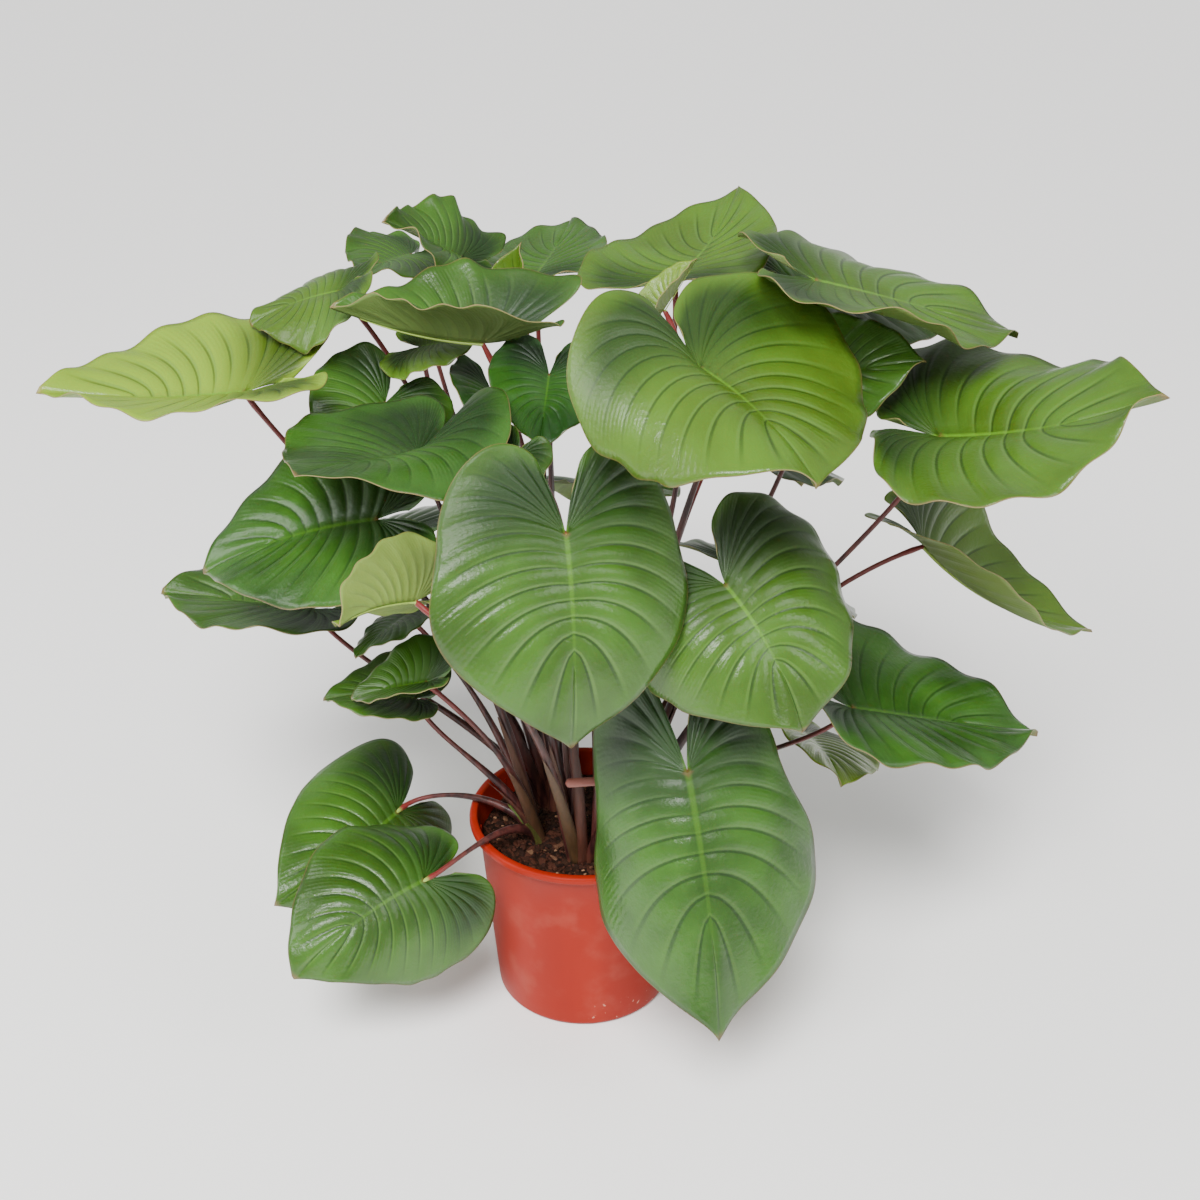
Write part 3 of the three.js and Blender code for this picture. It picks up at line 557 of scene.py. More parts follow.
def veined_green(tree, t, v, x, joint, youth_and_light):
    """Blotchy green with painted shade in the vein grooves and on the lobes,
    and a painted sheen as a paler line beside each vein.
    """
    blotch = ramp(tree, noise_on(tree, 14.0, 4.0), 0.3, 0.7)
    green = mix(tree, blotch, DEEP_GREEN, MID_GREEN)
    green = mix(tree, youth_and_light, green, YOUNG_GREEN)
    reach = calc(tree, "MULTIPLY", ramp(tree, v, 1.0, 0.5), ramp(tree, joint, 0.06, 0.3))
    # Painted shade in the grooves along the veins.
    painted_groove_shade = calc(tree, "MULTIPLY", vein_line(tree, t, VEIN_WIDTH), reach)
    green = mix(tree, calc(tree, "MULTIPLY", painted_groove_shade, VALLEY_SHADE), green, SHADE_GREEN)
    # A painted sheen as a paler line beside each vein, fainter on leaves painted darker.
    painted_crest_sheen = calc(tree, "MULTIPLY", vein_line(tree, t, VEIN_WIDTH, CREST_OFFSET), reach)
    painted_crest_sheen = calc(tree, "MULTIPLY", painted_crest_sheen, ramp(tree, youth_and_light, 0.0, 0.12))
    green = mix(tree, calc(tree, "MULTIPLY", painted_crest_sheen, CREST_LIGHT), green, SHEEN_GREEN)
    # Painted shade on the lobes near the joint.
    lobe_shade = calc(tree, "MULTIPLY", ramp(tree, x, 0.2, -0.2), ramp(tree, v, 1.0, 0.6))
    return mix(tree, calc(tree, "MULTIPLY", lobe_shade, LOBE_SHADE), green, SHADE_GREEN)


def rib_line(tree, x, y, youth_and_light):
    """How strongly the midrib shows: less towards the tip, and less on old leaves and on leaves
    painted into shade.
    """
    rib_width = ramp(tree, x, 0.0, 0.95, 0.012, 0.003)
    rib = ramp(tree, calc(tree, "DIVIDE", y, rib_width), 0.4, 1.5, 1.0, 0.0)
    rib = calc(tree, "MULTIPLY", rib, ramp(tree, x, 0.75, 0.1, 0.1, 0.9))
    return calc(tree, "MULTIPLY", rib, ramp(tree, youth_and_light, 0.05, 0.2, 0.25, 0.75))


def blade_grain(tree, t, v):
    """Fine strands along the veins, and a pebbled skin."""
    strands = calc(tree, "SINE", calc(tree, "MULTIPLY", t, VEINS * STRANDS_A_VEIN * 2 * math.pi))
    strands = calc(tree, "MULTIPLY", strands, ramp(tree, v, 0.15, 0.6))
    strands = calc(tree, "MULTIPLY", strands, ramp(tree, noise_on(tree, 22.0), 0.4, 0.65))
    return calc(tree, "ADD", calc(tree, "MULTIPLY", strands, 0.16), noise_on(tree, 260.0))


print("greens ready, veins a half:", VEINS)

# %% [markdown]
# The two sides of the blade are the same recipe, so that its pattern shows through as it does
# in a real leaf. Only gloss and greyness differ. The lobes are duller than the rest of the top,
# because they stand up to the light and would glare.

# %% Finishes of the blade
def blade_finish(name, upper):
    material, tree, shader = finish_tree(
        name, GLOSS_ABOVE if upper else GLOSS_BELOW, Specular_IOR_Level=0.5 if upper else 0.3,
        Coat_Weight=0.06 if upper else 0.0, Coat_Roughness=0.4,
        Subsurface_Weight=0.08, Subsurface_Scale=0.002)
    t, v = uv_parts(tree, "veins")[:2]
    x, y = uv_parts(tree, "place")[:2]
    # Each leaf's number: how young it is, and how much painted light or painted shade it gets.
    youth_and_light = node(tree, "ShaderNodeAttribute", attribute_name="youth_and_light").outputs["Fac"]
    joint = calc(tree, "ADD", calc(tree, "ABSOLUTE", x), y)
    green = veined_green(tree, t, v, x, joint, youth_and_light)
    green = mix(tree, rib_line(tree, x, y, youth_and_light), green, RIB_GREEN)
    if not upper:
        green = mix(tree, UNDERSIDE_OLIVE, green, OLIVE)
    green = mix(tree, ramp(tree, joint, 0.008, 0.03, 0.6, 0.0), green, JOINT_RED)
    edge = ramp(tree, v, 0.985, 1.0)
    green = mix(tree, calc(tree, "MULTIPLY", edge, 0.4), green, MARGIN_BROWN)
    tip = ramp(tree, x, 0.95, 1.0)
    green = mix(tree, calc(tree, "MULTIPLY", tip, 0.6), green, MARGIN_BROWN)
    tree.links.new(green, shader.inputs["Base Color"])
    if upper:
        dull = ramp(tree, x, 0.3, -0.15, GLOSS_ABOVE, GLOSS_LOBES)
        tree.links.new(dull, shader.inputs["Roughness"])
    bump(tree, shader, blade_grain(tree, t, v), 0.0007, 0.6)
    return material


leaf_above = blade_finish("leaf_above", True)
leaf_below = blade_finish("leaf_below", False)
margin_finish, margin_tree, margin_shader = finish_tree("leaf_margin", 0.5)
specks = mix(margin_tree, noise_on(margin_tree, 120.0), MARGIN_BROWN, OLIVE)
margin_tree.links.new(specks, margin_shader.inputs["Base Color"])
print("blade finishes:", leaf_above.name, leaf_below.name, margin_finish.name)

# %% [markdown]
# ## Making the blades
# Both halves share the vertices of the midrib, and the rows of the lobes all start at the joint.
# A Solidify modifier gives the sheet its thickness and its own materials below and round
# the edge, which is simpler than building the underside by hand. The table below says which
# leaves are young and pale, as there are nearly yellow ones between the dark ones, and it
# also paints leaves lighter where light falls on them and darker where they stand in shade.

# %% Build every blade
BLADE_THICKNESS = 0.7
YOUTH_AND_LIGHT = {"top_mid": 0.26, "far_left": 0.95, "left_olive": 0.8, "right_olive": 0.9,
         "young_fold": 0.7, "right_mid": 0.14, "front_mid": 0.1, "low_right": 0.05,
         "right_fold": 0.35, "right_top": 0.2, "back_right": 0.25, "upright": 0.3,
         "right_upper": 0.2, "olive_under": 0.35, "left_back": 0.25, "right_low": 0.03,
         "shade_mid": 0.0, "dark_behind": 0.0, "left_big": 0.03, "left_upper": 0.03}
COMMON_YOUTH_AND_LIGHT = 0.08


def blade_mesh(leaf):
    """Vertices, faces and the corner values t, v, x, y of a blade's sheet."""
    points, keys, faces, corners = [], {}, [], []
    x, y, t, v = vein_grid(leaf)
    halves = {side: in_place(leaf, bend_blade(leaf, x, y, t, v, side)) for side in (1, -1)}

    def vertex(row, column, side):
        if column == 0:
            key = ("rib", max(row, int(LOBE_SHARE * ROWS)))
        elif row == ROWS:
            key = ("end", column)
        else:
            key = (side, row, column)
        if key not in keys:
            keys[key] = len(points)
            points.append(halves[side][row, column])
        return keys[key]

    for side in (1, -1):
        for row in range(ROWS):
            for column in range(COLUMNS):
                ring = [(row, column), (row, column + 1), (row + 1, column + 1),
                        (row + 1, column)]
                if side > 0:
                    ring.reverse()
                face = [vertex(r, c, side) for r, c in ring]
                kept = [k for k in range(4) if face[k] != face[k - 1]]
                if len(kept) > 2:
                    faces.append([face[k] for k in kept])
                    corners += [(t[ring[k]], v[ring[k]], x[ring[k]], y[ring[k]]) for k in kept]
    return points, faces, np.array(corners)


def make_blade(leaf):
    points, faces, corners = blade_mesh(leaf)
    piece = mesh_object(f"blade_{leaf['name']}", points, faces,
                        [leaf_above, leaf_below, margin_finish])
    for name, first in (("veins", 0), ("place", 2)):
        layer = piece.data.uv_layers.new(name=name)
        layer.data.foreach_set("uv", corners[:, first:first + 2].ravel())
    # A leaf's number mixes its youth with painted light or painted shade for where it stands.
    youth_and_light = YOUTH_AND_LIGHT.get(leaf["name"], COMMON_YOUTH_AND_LIGHT)
    keep_on_points(piece.data, "youth_and_light", [youth_and_light] * len(points))
    shell = thicken(piece, BLADE_THICKNESS)
    shell.material_offset = 1
    shell.material_offset_rim = 2
    slot = "young_leaf" if leaf.get("look") == "young" else "leaf"
    settle(piece, slot, f"leaf_{leaf['name']}")
    return piece


blades = [make_blade(leaf) for leaf in LEAVES]
print("blades:", len(blades), "faces each:", len(blades[0].data.polygons))

# %% [markdown]
# ## The stalks
# Each stalk leaves its clump steeply, leans out and meets its blade from below. It is thick
# where it sheathes its neighbours, slim at the top, and it runs on under the blade as the
# raised midrib. A chain of points with a thickness at each is all that a stalk needs: a small
# geometry tree sweeps a circle along every chain.

# %% Path of a stalk
SOIL_Z = 170
STALK_BASE, STALK_TOP, STALK_TAPER, STALK_SPREAD = 5.5, 2.2, 1.6, 7
STALK_FOOT = 4.0  # how far below the soil's surface a stalk starts
LEAVES_CLUMP = (0.2, 0.2, 0.45)  # the first bend, as a share of the way to the blade
NOTCH_SEAT, UNDER_SEAT, SLOPED_SEAT = 7, 1.35, 1.3  # where a stalk ends behind or under a blade
STALK_STEPS, RIB_STEPS = 30, 12
RIB_FROM, RIB_TO, RIB_SINK = 0.015, 0.8, (1.5, 0.7)


def stalk_path(leaf):
    """Points of the stalk up to the blade, in millimetres."""
    turn = leaf_turn(leaf)
    notch = leaf.get("notch", False)
    slopes = [fold + more / 4 for fold, more in zip(leaf["fold"], leaf.get("lift", (0, 0)))]
    drop = SLOPED_SEAT * math.sin(math.radians(max(0, -min(slopes))))
    joint = (-NOTCH_SEAT, 0, 0) if notch else (0, 0, -UNDER_SEAT - drop)
    end = turn @ np.array(joint, float) + np.array(leaf["at"])
    crown = np.array([*CROWNS[leaf["crown"]], SOIL_Z - STALK_FOOT])
    lean = end[:2] - crown[:2]
    start = crown + np.array([*(STALK_SPREAD * lean / np.linalg.norm(lean)), 0])
    way = end - start
    leave = start + way * LEAVES_CLUMP + np.array((0, 0, leaf.get("rise", 0)))
    arrival = turn @ np.array((1, 0, 0) if notch else (0.5, 0, 1), float)
    arrival /= np.linalg.norm(arrival)
    arrive = end - arrival * np.linalg.norm(way) * leaf.get("ease", 0.25)
    s = np.linspace(0, 1, STALK_STEPS + 1)[:, None]
    return (1 - s) ** 3 * start + 3 * s * (1 - s) ** 2 * leave \
        + 3 * s ** 2 * (1 - s) * arrive + s ** 3 * end


def rib_path(leaf):
    """Points under the midrib, from the joint towards the tip, in millimetres."""
    share = np.linspace(RIB_FROM, RIB_TO, RIB_STEPS)
    zero = np.zeros_like(share)
    local = bend_blade(leaf, share, zero, zero, zero, 1)
    local[:, 2] -= np.linspace(*RIB_SINK, RIB_STEPS)
    return local @ leaf_turn(leaf).T + np.array(leaf["at"])


print("first stalk:", stalk_path(LEAVES[0])[[0, -1]].round(1).tolist())

# %% [markdown]
# A tube could be built ring by ring in the script. A geometry tree does the same in a few nodes:
# it makes each chain a curve, carries a circle along it, sizes the circle by the thickness that
# is kept on the points, and closes both ends.

# %% Sweep the stalks
SWEEP_SIDES = 12


def sweep_tree():
    tree, given = geometry_tree("sweep_stalks", [("Sides", "Int"), ("Material", "Material")])
    chains = node(tree, "GeometryNodeMeshToCurve", {"Mesh": given["Geometry"]})
    ring = node(tree, "GeometryNodeCurvePrimitiveCircle", {"Resolution": given["Sides"],
                "Radius": 1.0})
    thick = node(tree, "GeometryNodeInputNamedAttribute", {"Name": "thickness"},
                 data_type="FLOAT")
    tube = node(tree, "GeometryNodeCurveToMesh", {"Curve": chains.outputs[0],
                "Profile Curve": ring.outputs[0], "Scale": thick.outputs["Attribute"],
                "Fill Caps": True})
    smooth = node(tree, "GeometryNodeSetShadeSmooth", {"Geometry": tube.outputs[0]})
    end_tree(tree, smooth.outputs[0], given["Material"])
    return tree


sweep_stalks = sweep_tree()


def chains_object(name, chains):
    """Loose chains of edges. A chain is its points, thicknesses and share along the stalk."""
    points, edges, thick, along = [], [], [], []
    for path, radii, share in chains:
        first = len(points)
        points += [tuple(p * MM) for p in path]
        thick += [r * MM for r in radii]
        along += list(share)
        edges += [(k, k + 1) for k in range(first, len(points) - 1)]
    mesh = bpy.data.meshes.new(name)
    mesh.from_pydata(points, edges, [])
    keep_on_points(mesh, "thickness", thick)
    keep_on_points(mesh, "along", along)
    return linked(name, mesh)


print("sweep tree has", len(sweep_stalks.nodes), "nodes")

# %% [markdown]
# The stalks are dark maroon, redder towards the blade, paler and papery where the sheaths
# dry at the bottom, and green again where they run on under the blade. The share along the
# stalk is kept on the mesh as the attribute `along`, so that one finish serves them all.

# %% Finish of the stalks
DARK_MAROON, PALE_MAROON, TOP_RED = rgb(42, 21, 21), rgb(80, 41, 37), rgb(112, 40, 38)
DRY_FOOT, RIB_BELOW = rgb(92, 56, 42), rgb(140, 164, 74)
stalk_finish, stalk_tree, stalk_shader = finish_tree("stalk_maroon", 0.38,
                                                     Specular_IOR_Level=0.45)
along = node(stalk_tree, "ShaderNodeAttribute", attribute_name="along").outputs["Fac"]
streak = drawn_noise(stalk_tree, 160.0, 0.12, 4.0)
maroon = mix(stalk_tree, ramp(stalk_tree, streak, 0.35, 0.65), DARK_MAROON, PALE_MAROON)
maroon = mix(stalk_tree, ramp(stalk_tree, along, 0.6, 1.0), maroon, TOP_RED)
dry = calc(stalk_tree, "MULTIPLY", ramp(stalk_tree, along, 0.12, 0.0),
           ramp(stalk_tree, streak, 0.45, 0.6))
maroon = mix(stalk_tree, dry, maroon, DRY_FOOT)
maroon = mix(stalk_tree, ramp(stalk_tree, along, 1.0, 1.06), maroon, RIB_BELOW)
stalk_tree.links.new(maroon, stalk_shader.inputs["Base Color"])
bump(stalk_tree, stalk_shader, streak, 0.0006, 0.5)
print("stalk finish:", stalk_finish.name)

# %% [markdown]
# The stalks of a clump sheathe each other and grow as one piece, so a clump is one mesh. It
# holds a chain for each of its leaves. A stalk swells a little just below its blade.

# %% Make the clumps
SWELLING, SWELLS_AT, SWELL_REACH = 0.5, 0.97, 0.03
RIB_FOOT, RIB_END, FULL_RIB_LENGTH = 1.5, 0.5, 150


def stalk_chain(leaf):
    """Points, thicknesses and shares of a stalk and of the rib that it runs on as."""
    path, rib = stalk_path(leaf), rib_path(leaf)
    share = np.linspace(0, 1, STALK_STEPS + 1)
    radii = STALK_BASE + (STALK_TOP - STALK_BASE) * np.minimum(1, share * STALK_TAPER)
    radii = radii + SWELLING * np.exp(-((share - SWELLS_AT) / SWELL_REACH) ** 2)
    slim = np.linspace(RIB_FOOT, RIB_END, RIB_STEPS) * min(1.0, leaf["length"] / FULL_RIB_LENGTH)
    past_joint = np.linspace(1.1, 2, RIB_STEPS)
    return np.vstack([path, rib]), np.r_[radii, slim], np.r_[share, past_joint]


clumps = []
for crown in CROWNS:
    chains = [stalk_chain(leaf) for leaf in LEAVES if leaf["crown"] == crown]
    clump = grow(chains_object(f"stalks_{crown}", chains), sweep_stalks,
                 {"Sides": SWEEP_SIDES, "Material": stalk_finish})
    settle(clump, "stalk", f"crown_{crown}")
    clumps.append(clump)
print("clumps:", {one.name: len(one.data.polygons) for one in clumps})

# %% [markdown]
# ## Sheaths
# Every stalk starts inside a thin sheath. A fresh one is green, and an old one dries to a
# brown paper whose pointed tip stands off the stalk. A sheath is a narrow sheet that follows
# its stalk: row by row it is wrapped less far round the stalk and held further from it. One
# row of numbers a sheath says where it faces, how far up it reaches and how dry it is.

# %% Finish of the sheaths
sheath_finish, sheath_tree, sheath_shader = finish_tree("sheath_paper", 0.6,
                                                        Subsurface_Weight=0.1,
                                                        Subsurface_Scale=0.002)
dryness = node(sheath_tree, "ShaderNodeAttribute", attribute_name="dryness").outputs["Fac"]
fibre = drawn_noise(sheath_tree, 240.0, 0.1, 4.0)
paper = mix(sheath_tree, fibre, rgb(42, 21, 18), rgb(94, 54, 40))
fresh = mix(sheath_tree, fibre, rgb(52, 70, 24), rgb(92, 112, 44))
sheath_colour = mix(sheath_tree, dryness, fresh, paper)
sheath_tree.links.new(sheath_colour, sheath_shader.inputs["Base Color"])
bump(sheath_tree, sheath_shader, fibre, 0.0006, 0.6)
print("sheath finish:", sheath_finish.name)

# %% Wrap the sheaths
SHEATH_ROWS, SHEATH_COLUMNS, SHEATH_THICKNESS = 16, 9, 0.4
SHEATH_GAP, SHEATH_TIP, SHEATH_POINT = 0.7, 0.05, 1.6
STEP_AHEAD = 0.02  # the share of the stalk that gives its direction
SHEATHS = {
    # stalk: (facing, reach up the stalk, half angle of the wrap, stand-off of the tip, dryness)
    "low_left_rear": ((0.0, -0.4, 1.0), 0.26, 80, 3.0, 0.0),
    "low_left_front": ((0.2, -0.5, 1.0), 0.22, 100, 2.5, 0.5),
    "left_big": ((-0.5, -1.0, 0.0), 0.34, 95, 2.0, 0.95),
    "left_small": ((0.1, -1.0, 0.1), 0.4, 90, 2.5, 0.9),
    "left_dark": ((-0.8, -0.6, 0.0), 0.4, 85, 2.0, 1.0),
    "front_mid": ((0.3, -1.0, 0.1), 0.3, 95, 2.0, 1.0),
    "left_upper": ((-0.4, -1.0, 0.0), 0.26, 85, 2.5, 0.95),
    "crown_left": ((0.6, -1.0, 0.0), 0.3, 80, 2.5, 1.0),
    "left_olive": ((-0.2, -1.0, 0.2), 0.36, 100, 2.0, 0.85),
    "right_mid": ((0.5, -1.0, 0.0), 0.28, 90, 2.0, 0.95),
    "right_under": ((0.9, -0.5, 0.0), 0.3, 90, 2.0, 1.0),
    "top_mid": ((-0.3, -1.0, 0.0), 0.22, 90, 2.0, 0.95),
    "rear_side": ((0.9, 0.5, 0.0), 0.3, 90, 2.0, 0.9),
    "rear_low": ((-0.2, 1.0, 0.0), 0.3, 90, 2.0, 1.0),
    "rear_left": ((-1.0, 0.5, 0.0), 0.3, 90, 2.0, 0.9),
}


def sheath_rows(leaf, facing, reach, wrap, stand_off):
    """Rows of points of one sheath, in millimetres."""
    path = stalk_path(leaf)
    share = np.linspace(0, 1, len(path))
    rows = []
    for u in np.linspace(0, 1, SHEATH_ROWS):
        s = u * reach
        centre, ahead = [np.array([np.interp(where, share, path[:, k]) for k in range(3)])
                         for where in (s, s + STEP_AHEAD)]
        way = (ahead - centre) / np.linalg.norm(ahead - centre)
        face = np.array(facing) - np.dot(facing, way) * way
        face /= np.linalg.norm(face)
        aside = np.cross(way, face)
        half = math.radians(wrap) * (1 - u ** SHEATH_POINT) + SHEATH_TIP
        radius = STALK_BASE - (STALK_BASE - STALK_TOP) * s * STALK_TAPER
        radius += SHEATH_GAP + stand_off * u ** 3
        turn = np.linspace(-half, half, SHEATH_COLUMNS)[:, None]
        rows.append(centre + radius * (np.cos(turn) * face + np.sin(turn) * aside))
    return np.array(rows)


def make_sheaths():
    points, faces, dry = [], [], []
    for name, (facing, reach, wrap, stand_off, dryness_value) in SHEATHS.items():
        leaf = next(one for one in LEAVES if one["name"] == name)
        first = len(points)
        points += list(sheath_rows(leaf, facing, reach, wrap, stand_off).reshape(-1, 3) * MM)
        dry += [dryness_value] * (SHEATH_ROWS * SHEATH_COLUMNS)
        for row in range(SHEATH_ROWS - 1):
            for column in range(SHEATH_COLUMNS - 1):
                a = first + row * SHEATH_COLUMNS + column
                faces.append((a, a + 1, a + 1 + SHEATH_COLUMNS, a + SHEATH_COLUMNS))
    piece = mesh_object("stalk_sheaths", points, faces, [sheath_finish])
    keep_on_points(piece.data, "dryness", dry)
    thicken(piece, SHEATH_THICKNESS)
    settle(piece, "stalk")
    return piece


sheaths = make_sheaths()
print("sheath faces:", len(sheaths.data.polygons))

# %% [markdown]
# ## A withered stem
# One old stem has dried to a thin tan thread that stands in front of the clump. It has the
# shape of a stalk and the finish of a dry sheath, so both are used again: a few points give its
# bends, and the sweep makes the thread.

# %% Make the withered stem
WITHERED_FOOT, WITHERED_TAPER = 1.5, 0.9
withered_path = smooth_through(np.array([
    (-13, -50, 180), (-15, -62, 217), (-18, -64, 236), (-26, -65, 257), (-29, -64, 278),
    (-32, -62, 305), (-40, -52, 345)], float), 6)
withered_share = np.linspace(0, 1, len(withered_path))
withered_radii = WITHERED_FOOT - WITHERED_TAPER * withered_share
withered = chains_object("withered_stem", [(withered_path, withered_radii, withered_share)])
withered = grow(withered, sweep_stalks, {"Sides": 8, "Material": sheath_finish})
keep_on_points(withered.data, "dryness", [1.0] * len(withered.data.vertices))
settle(withered, "stalk")
print("withered stem faces:", len(withered.data.polygons))

# %% [markdown]
# ## Stems without a blade
# A blunt, pinkish young shoot lies across the front of the clump, and two old leaf bases
# stand behind it. They are swept like the stalks, but keep their thickness up to a round end.

# %% Make the shoot and the old bases
shoot_finish, shoot_tree, shoot_shader = finish_tree("shoot_pink", 0.45)
flush = mix(shoot_tree, noise_on(shoot_tree, 60.0, 4.0), rgb(104, 56, 50), rgb(150, 92, 80))
shoot_tree.links.new(flush, shoot_shader.inputs["Base Color"])
bump(shoot_tree, shoot_shader, noise_on(shoot_tree, 300.0), 0.0003, 0.5)
SHOOT_RADIUS = 4.0
ROUND_FROM, ROUND_OVER = 0.982, 0.0184  # the last bit of a stem is its round end
MAROON_SHARE = 0.8  # the stems take the stalks' colours up to this share
STEMS = {
    "young_shoot": (shoot_finish, [(8, -45, 168), (42, -58, 230), (46, -88, 282),
                                   (-14, -98, 288)]),
    "old_base_left": (stalk_finish, [(-10, -50, 168), (-20, -57, 240), (-26, -54, 325)]),
    "old_base_right": (stalk_finish, [(10, -50, 168), (13, -60, 250), (12, -58, 335)]),
}
stems = []
for name, (finish, path) in STEMS.items():
    line = smooth_through(np.array(path, float), 60)
    share = np.linspace(0, 1, len(line))
    end = np.maximum(0, (share - ROUND_FROM) / ROUND_OVER)
    radii = SHOOT_RADIUS * np.sqrt(np.clip(1 - end ** 2, 0, 1))
    stem = grow(chains_object(name, [(line, radii, share * MAROON_SHARE)]), sweep_stalks,
                {"Sides": SWEEP_SIDES, "Material": finish})
    settle(stem, "stalk")
    stems.append(stem)
print("stems:", {one.name: len(one.data.polygons) for one in stems})

# %% [markdown]
# ## The nursery pot
# The pot is one thin moulding: a tapered wall, a rolled rim and a rounded foot. A profile
# spun round the axis is how such a pot is drawn, and it gives an even wall. Thin fins brace
# the rim from below, and water drains through holes in the base.

# %% Spin the wall
POT_HEIGHT, RIM_RADIUS, RIM_WIDTH, RIM_HEIGHT = 190, 105, 7.5, 7
NECK_RADIUS, FOOT_RADIUS, FOOT_ROUND, WALL, BASE = 97, 81, 6, 2.2, 3
UNDER_ROUND, OUTER_ROUND, INNER_ROUND = 1.5, 3, 2  # the rolled rim's three corners
NECK_Z = POT_HEIGHT - RIM_HEIGHT
WALL_LEVELS, SPIN_STEPS = (20, 60, 100, 140), 120


def corner(centre, radius, first, last, steps=6):
    """Points of a rounded corner between two angles, in degrees."""
    angles = np.radians(np.linspace(first, last, steps))
    return [(centre[0] + radius * math.cos(a), centre[1] + radius * math.sin(a))
            for a in angles]


def wall_radius(z):
    return FOOT_RADIUS + (NECK_RADIUS - FOOT_RADIUS) * z / NECK_Z


pot_profile = (
    [(0, 0), (FOOT_RADIUS - FOOT_ROUND - 3, 0)]
    + corner((FOOT_RADIUS - FOOT_ROUND + 0.5, FOOT_ROUND), FOOT_ROUND, -90, 0)
    + [(wall_radius(z), z) for z in (*WALL_LEVELS, NECK_Z - 2)]
    + [(NECK_RADIUS + 1.2, NECK_Z), (RIM_RADIUS - UNDER_ROUND, NECK_Z)]
    + corner((RIM_RADIUS - UNDER_ROUND, NECK_Z + UNDER_ROUND), UNDER_ROUND, -90, 0, 4)
    + corner((RIM_RADIUS - OUTER_ROUND, POT_HEIGHT - OUTER_ROUND), OUTER_ROUND, 0, 90)
    + corner((RIM_RADIUS - RIM_WIDTH + INNER_ROUND, POT_HEIGHT - INNER_ROUND), INNER_ROUND,
             90, 180, 5)
    + [(NECK_RADIUS - WALL + 0.6, NECK_Z - 1), (wall_radius(140) - WALL, 140),
       (wall_radius(60) - WALL, 60), (FOOT_RADIUS - WALL, BASE + 4),
       (FOOT_RADIUS - WALL - 4, BASE), (0, BASE)])


def spin_profile(name, profile, steps, material):
    """A profile of radii and heights, spun round the upright axis."""
    build = bmesh.new()
    ring = [build.verts.new((r * MM, 0, z * MM)) for r, z in profile]
    edges = [build.edges.new(pair) for pair in zip(ring, ring[1:])]
    bmesh.ops.spin(build, geom=ring + edges, cent=(0, 0, 0), axis=(0, 0, 1),
                   angle=2 * math.pi, steps=steps, use_merge=True)
    bmesh.ops.remove_doubles(build, verts=build.verts, dist=1e-6)
    bmesh.ops.recalc_face_normals(build, faces=build.faces)
    mesh = bpy.data.meshes.new(name)
    build.to_mesh(mesh)
    build.free()
    mesh.materials.append(material)
    mesh.shade_smooth()
    return linked(name, mesh)


print("profile points:", len(pot_profile))

# %% [markdown]
# The plastic is a matt-glossy terracotta red. It is a touch dusty, scuffed pale near the
# foot, and faintly streaked down the wall where the mould was filled.

# %% Finish of the pot
TERRACOTTA, STREAK_RED = rgb(134, 25, 6), rgb(142, 29, 9)
DUST_PINK, SCUFF_PALE = rgb(222, 150, 128), rgb(236, 190, 168)
pot_finish, pot_tree, pot_shader = finish_tree("pot_plastic", 0.42, Specular_IOR_Level=0.2)
pot_place = node(pot_tree, "ShaderNodeTexCoord").outputs["Object"]
pot_z = node(pot_tree, "ShaderNodeSeparateXYZ", {0: pot_place}).outputs["Z"]
flow = drawn_noise(pot_tree, 22.0, 0.15, 3.0)
plastic = mix(pot_tree, ramp(pot_tree, flow, 0.3, 0.7), TERRACOTTA, STREAK_RED)
dust = ramp(pot_tree, noise_on(pot_tree, 30.0, 6.0), 0.5, 0.75)
plastic = mix(pot_tree, calc(pot_tree, "MULTIPLY", dust, 0.06), plastic, DUST_PINK)
scuff = calc(pot_tree, "MULTIPLY", ramp(pot_tree, noise_on(pot_tree, 240.0, 5.0), 0.66, 0.72),
             ramp(pot_tree, noise_on(pot_tree, 18.0), 0.5, 0.62))
scuff = calc(pot_tree, "MULTIPLY", scuff, ramp(pot_tree, pot_z, 0.034, 0.012))
plastic = mix(pot_tree, scuff, plastic, SCUFF_PALE)
pot_tree.links.new(plastic, pot_shader.inputs["Base Color"])
bump(pot_tree, pot_shader, noise_on(pot_tree, 420.0), 0.0002, 0.3)
print("pot finish:", pot_finish.name)

# %% [markdown]
# One fin is a thin upright triangle. A geometry tree copies it round the rim: it is set on the
# points of a circle and turned by its own share of the whole turn.

# %% Fins under the rim
FINS, FIRST_FIN = 15, 213
FIN_THICKNESS, FIN_DEPTH, FIN_HEIGHT = 1.2, 6, 7.5
FIN_SUNK = 0.5  # how far the top runs into the rim


def around_tree():
    tree, given = geometry_tree("around_the_axis", [("Count", "Int"), ("First angle", "Float"),
                                                    ("Material", "Material")])
    circle = node(tree, "GeometryNodeMeshCircle", {"Vertices": given["Count"], "Radius": 0.001})
    order = node(tree, "GeometryNodeInputIndex").outputs[0]
    share = calc(tree, "DIVIDE", order, given["Count"])
    angle = calc(tree, "ADD", calc(tree, "MULTIPLY", share, 2 * math.pi), given["First angle"])
    turn = node(tree, "ShaderNodeCombineXYZ", {"Z": angle})
    middle = node(tree, "GeometryNodeSetPosition", {"Geometry": circle.outputs[0],
                  "Position": (0.0, 0.0, 0.0)})
    copies = node(tree, "GeometryNodeInstanceOnPoints", {"Points": middle.outputs[0],
                  "Instance": given["Geometry"], "Rotation": turn.outputs[0]})
    end_tree(tree, copies.outputs[0], given["Material"])
    return tree


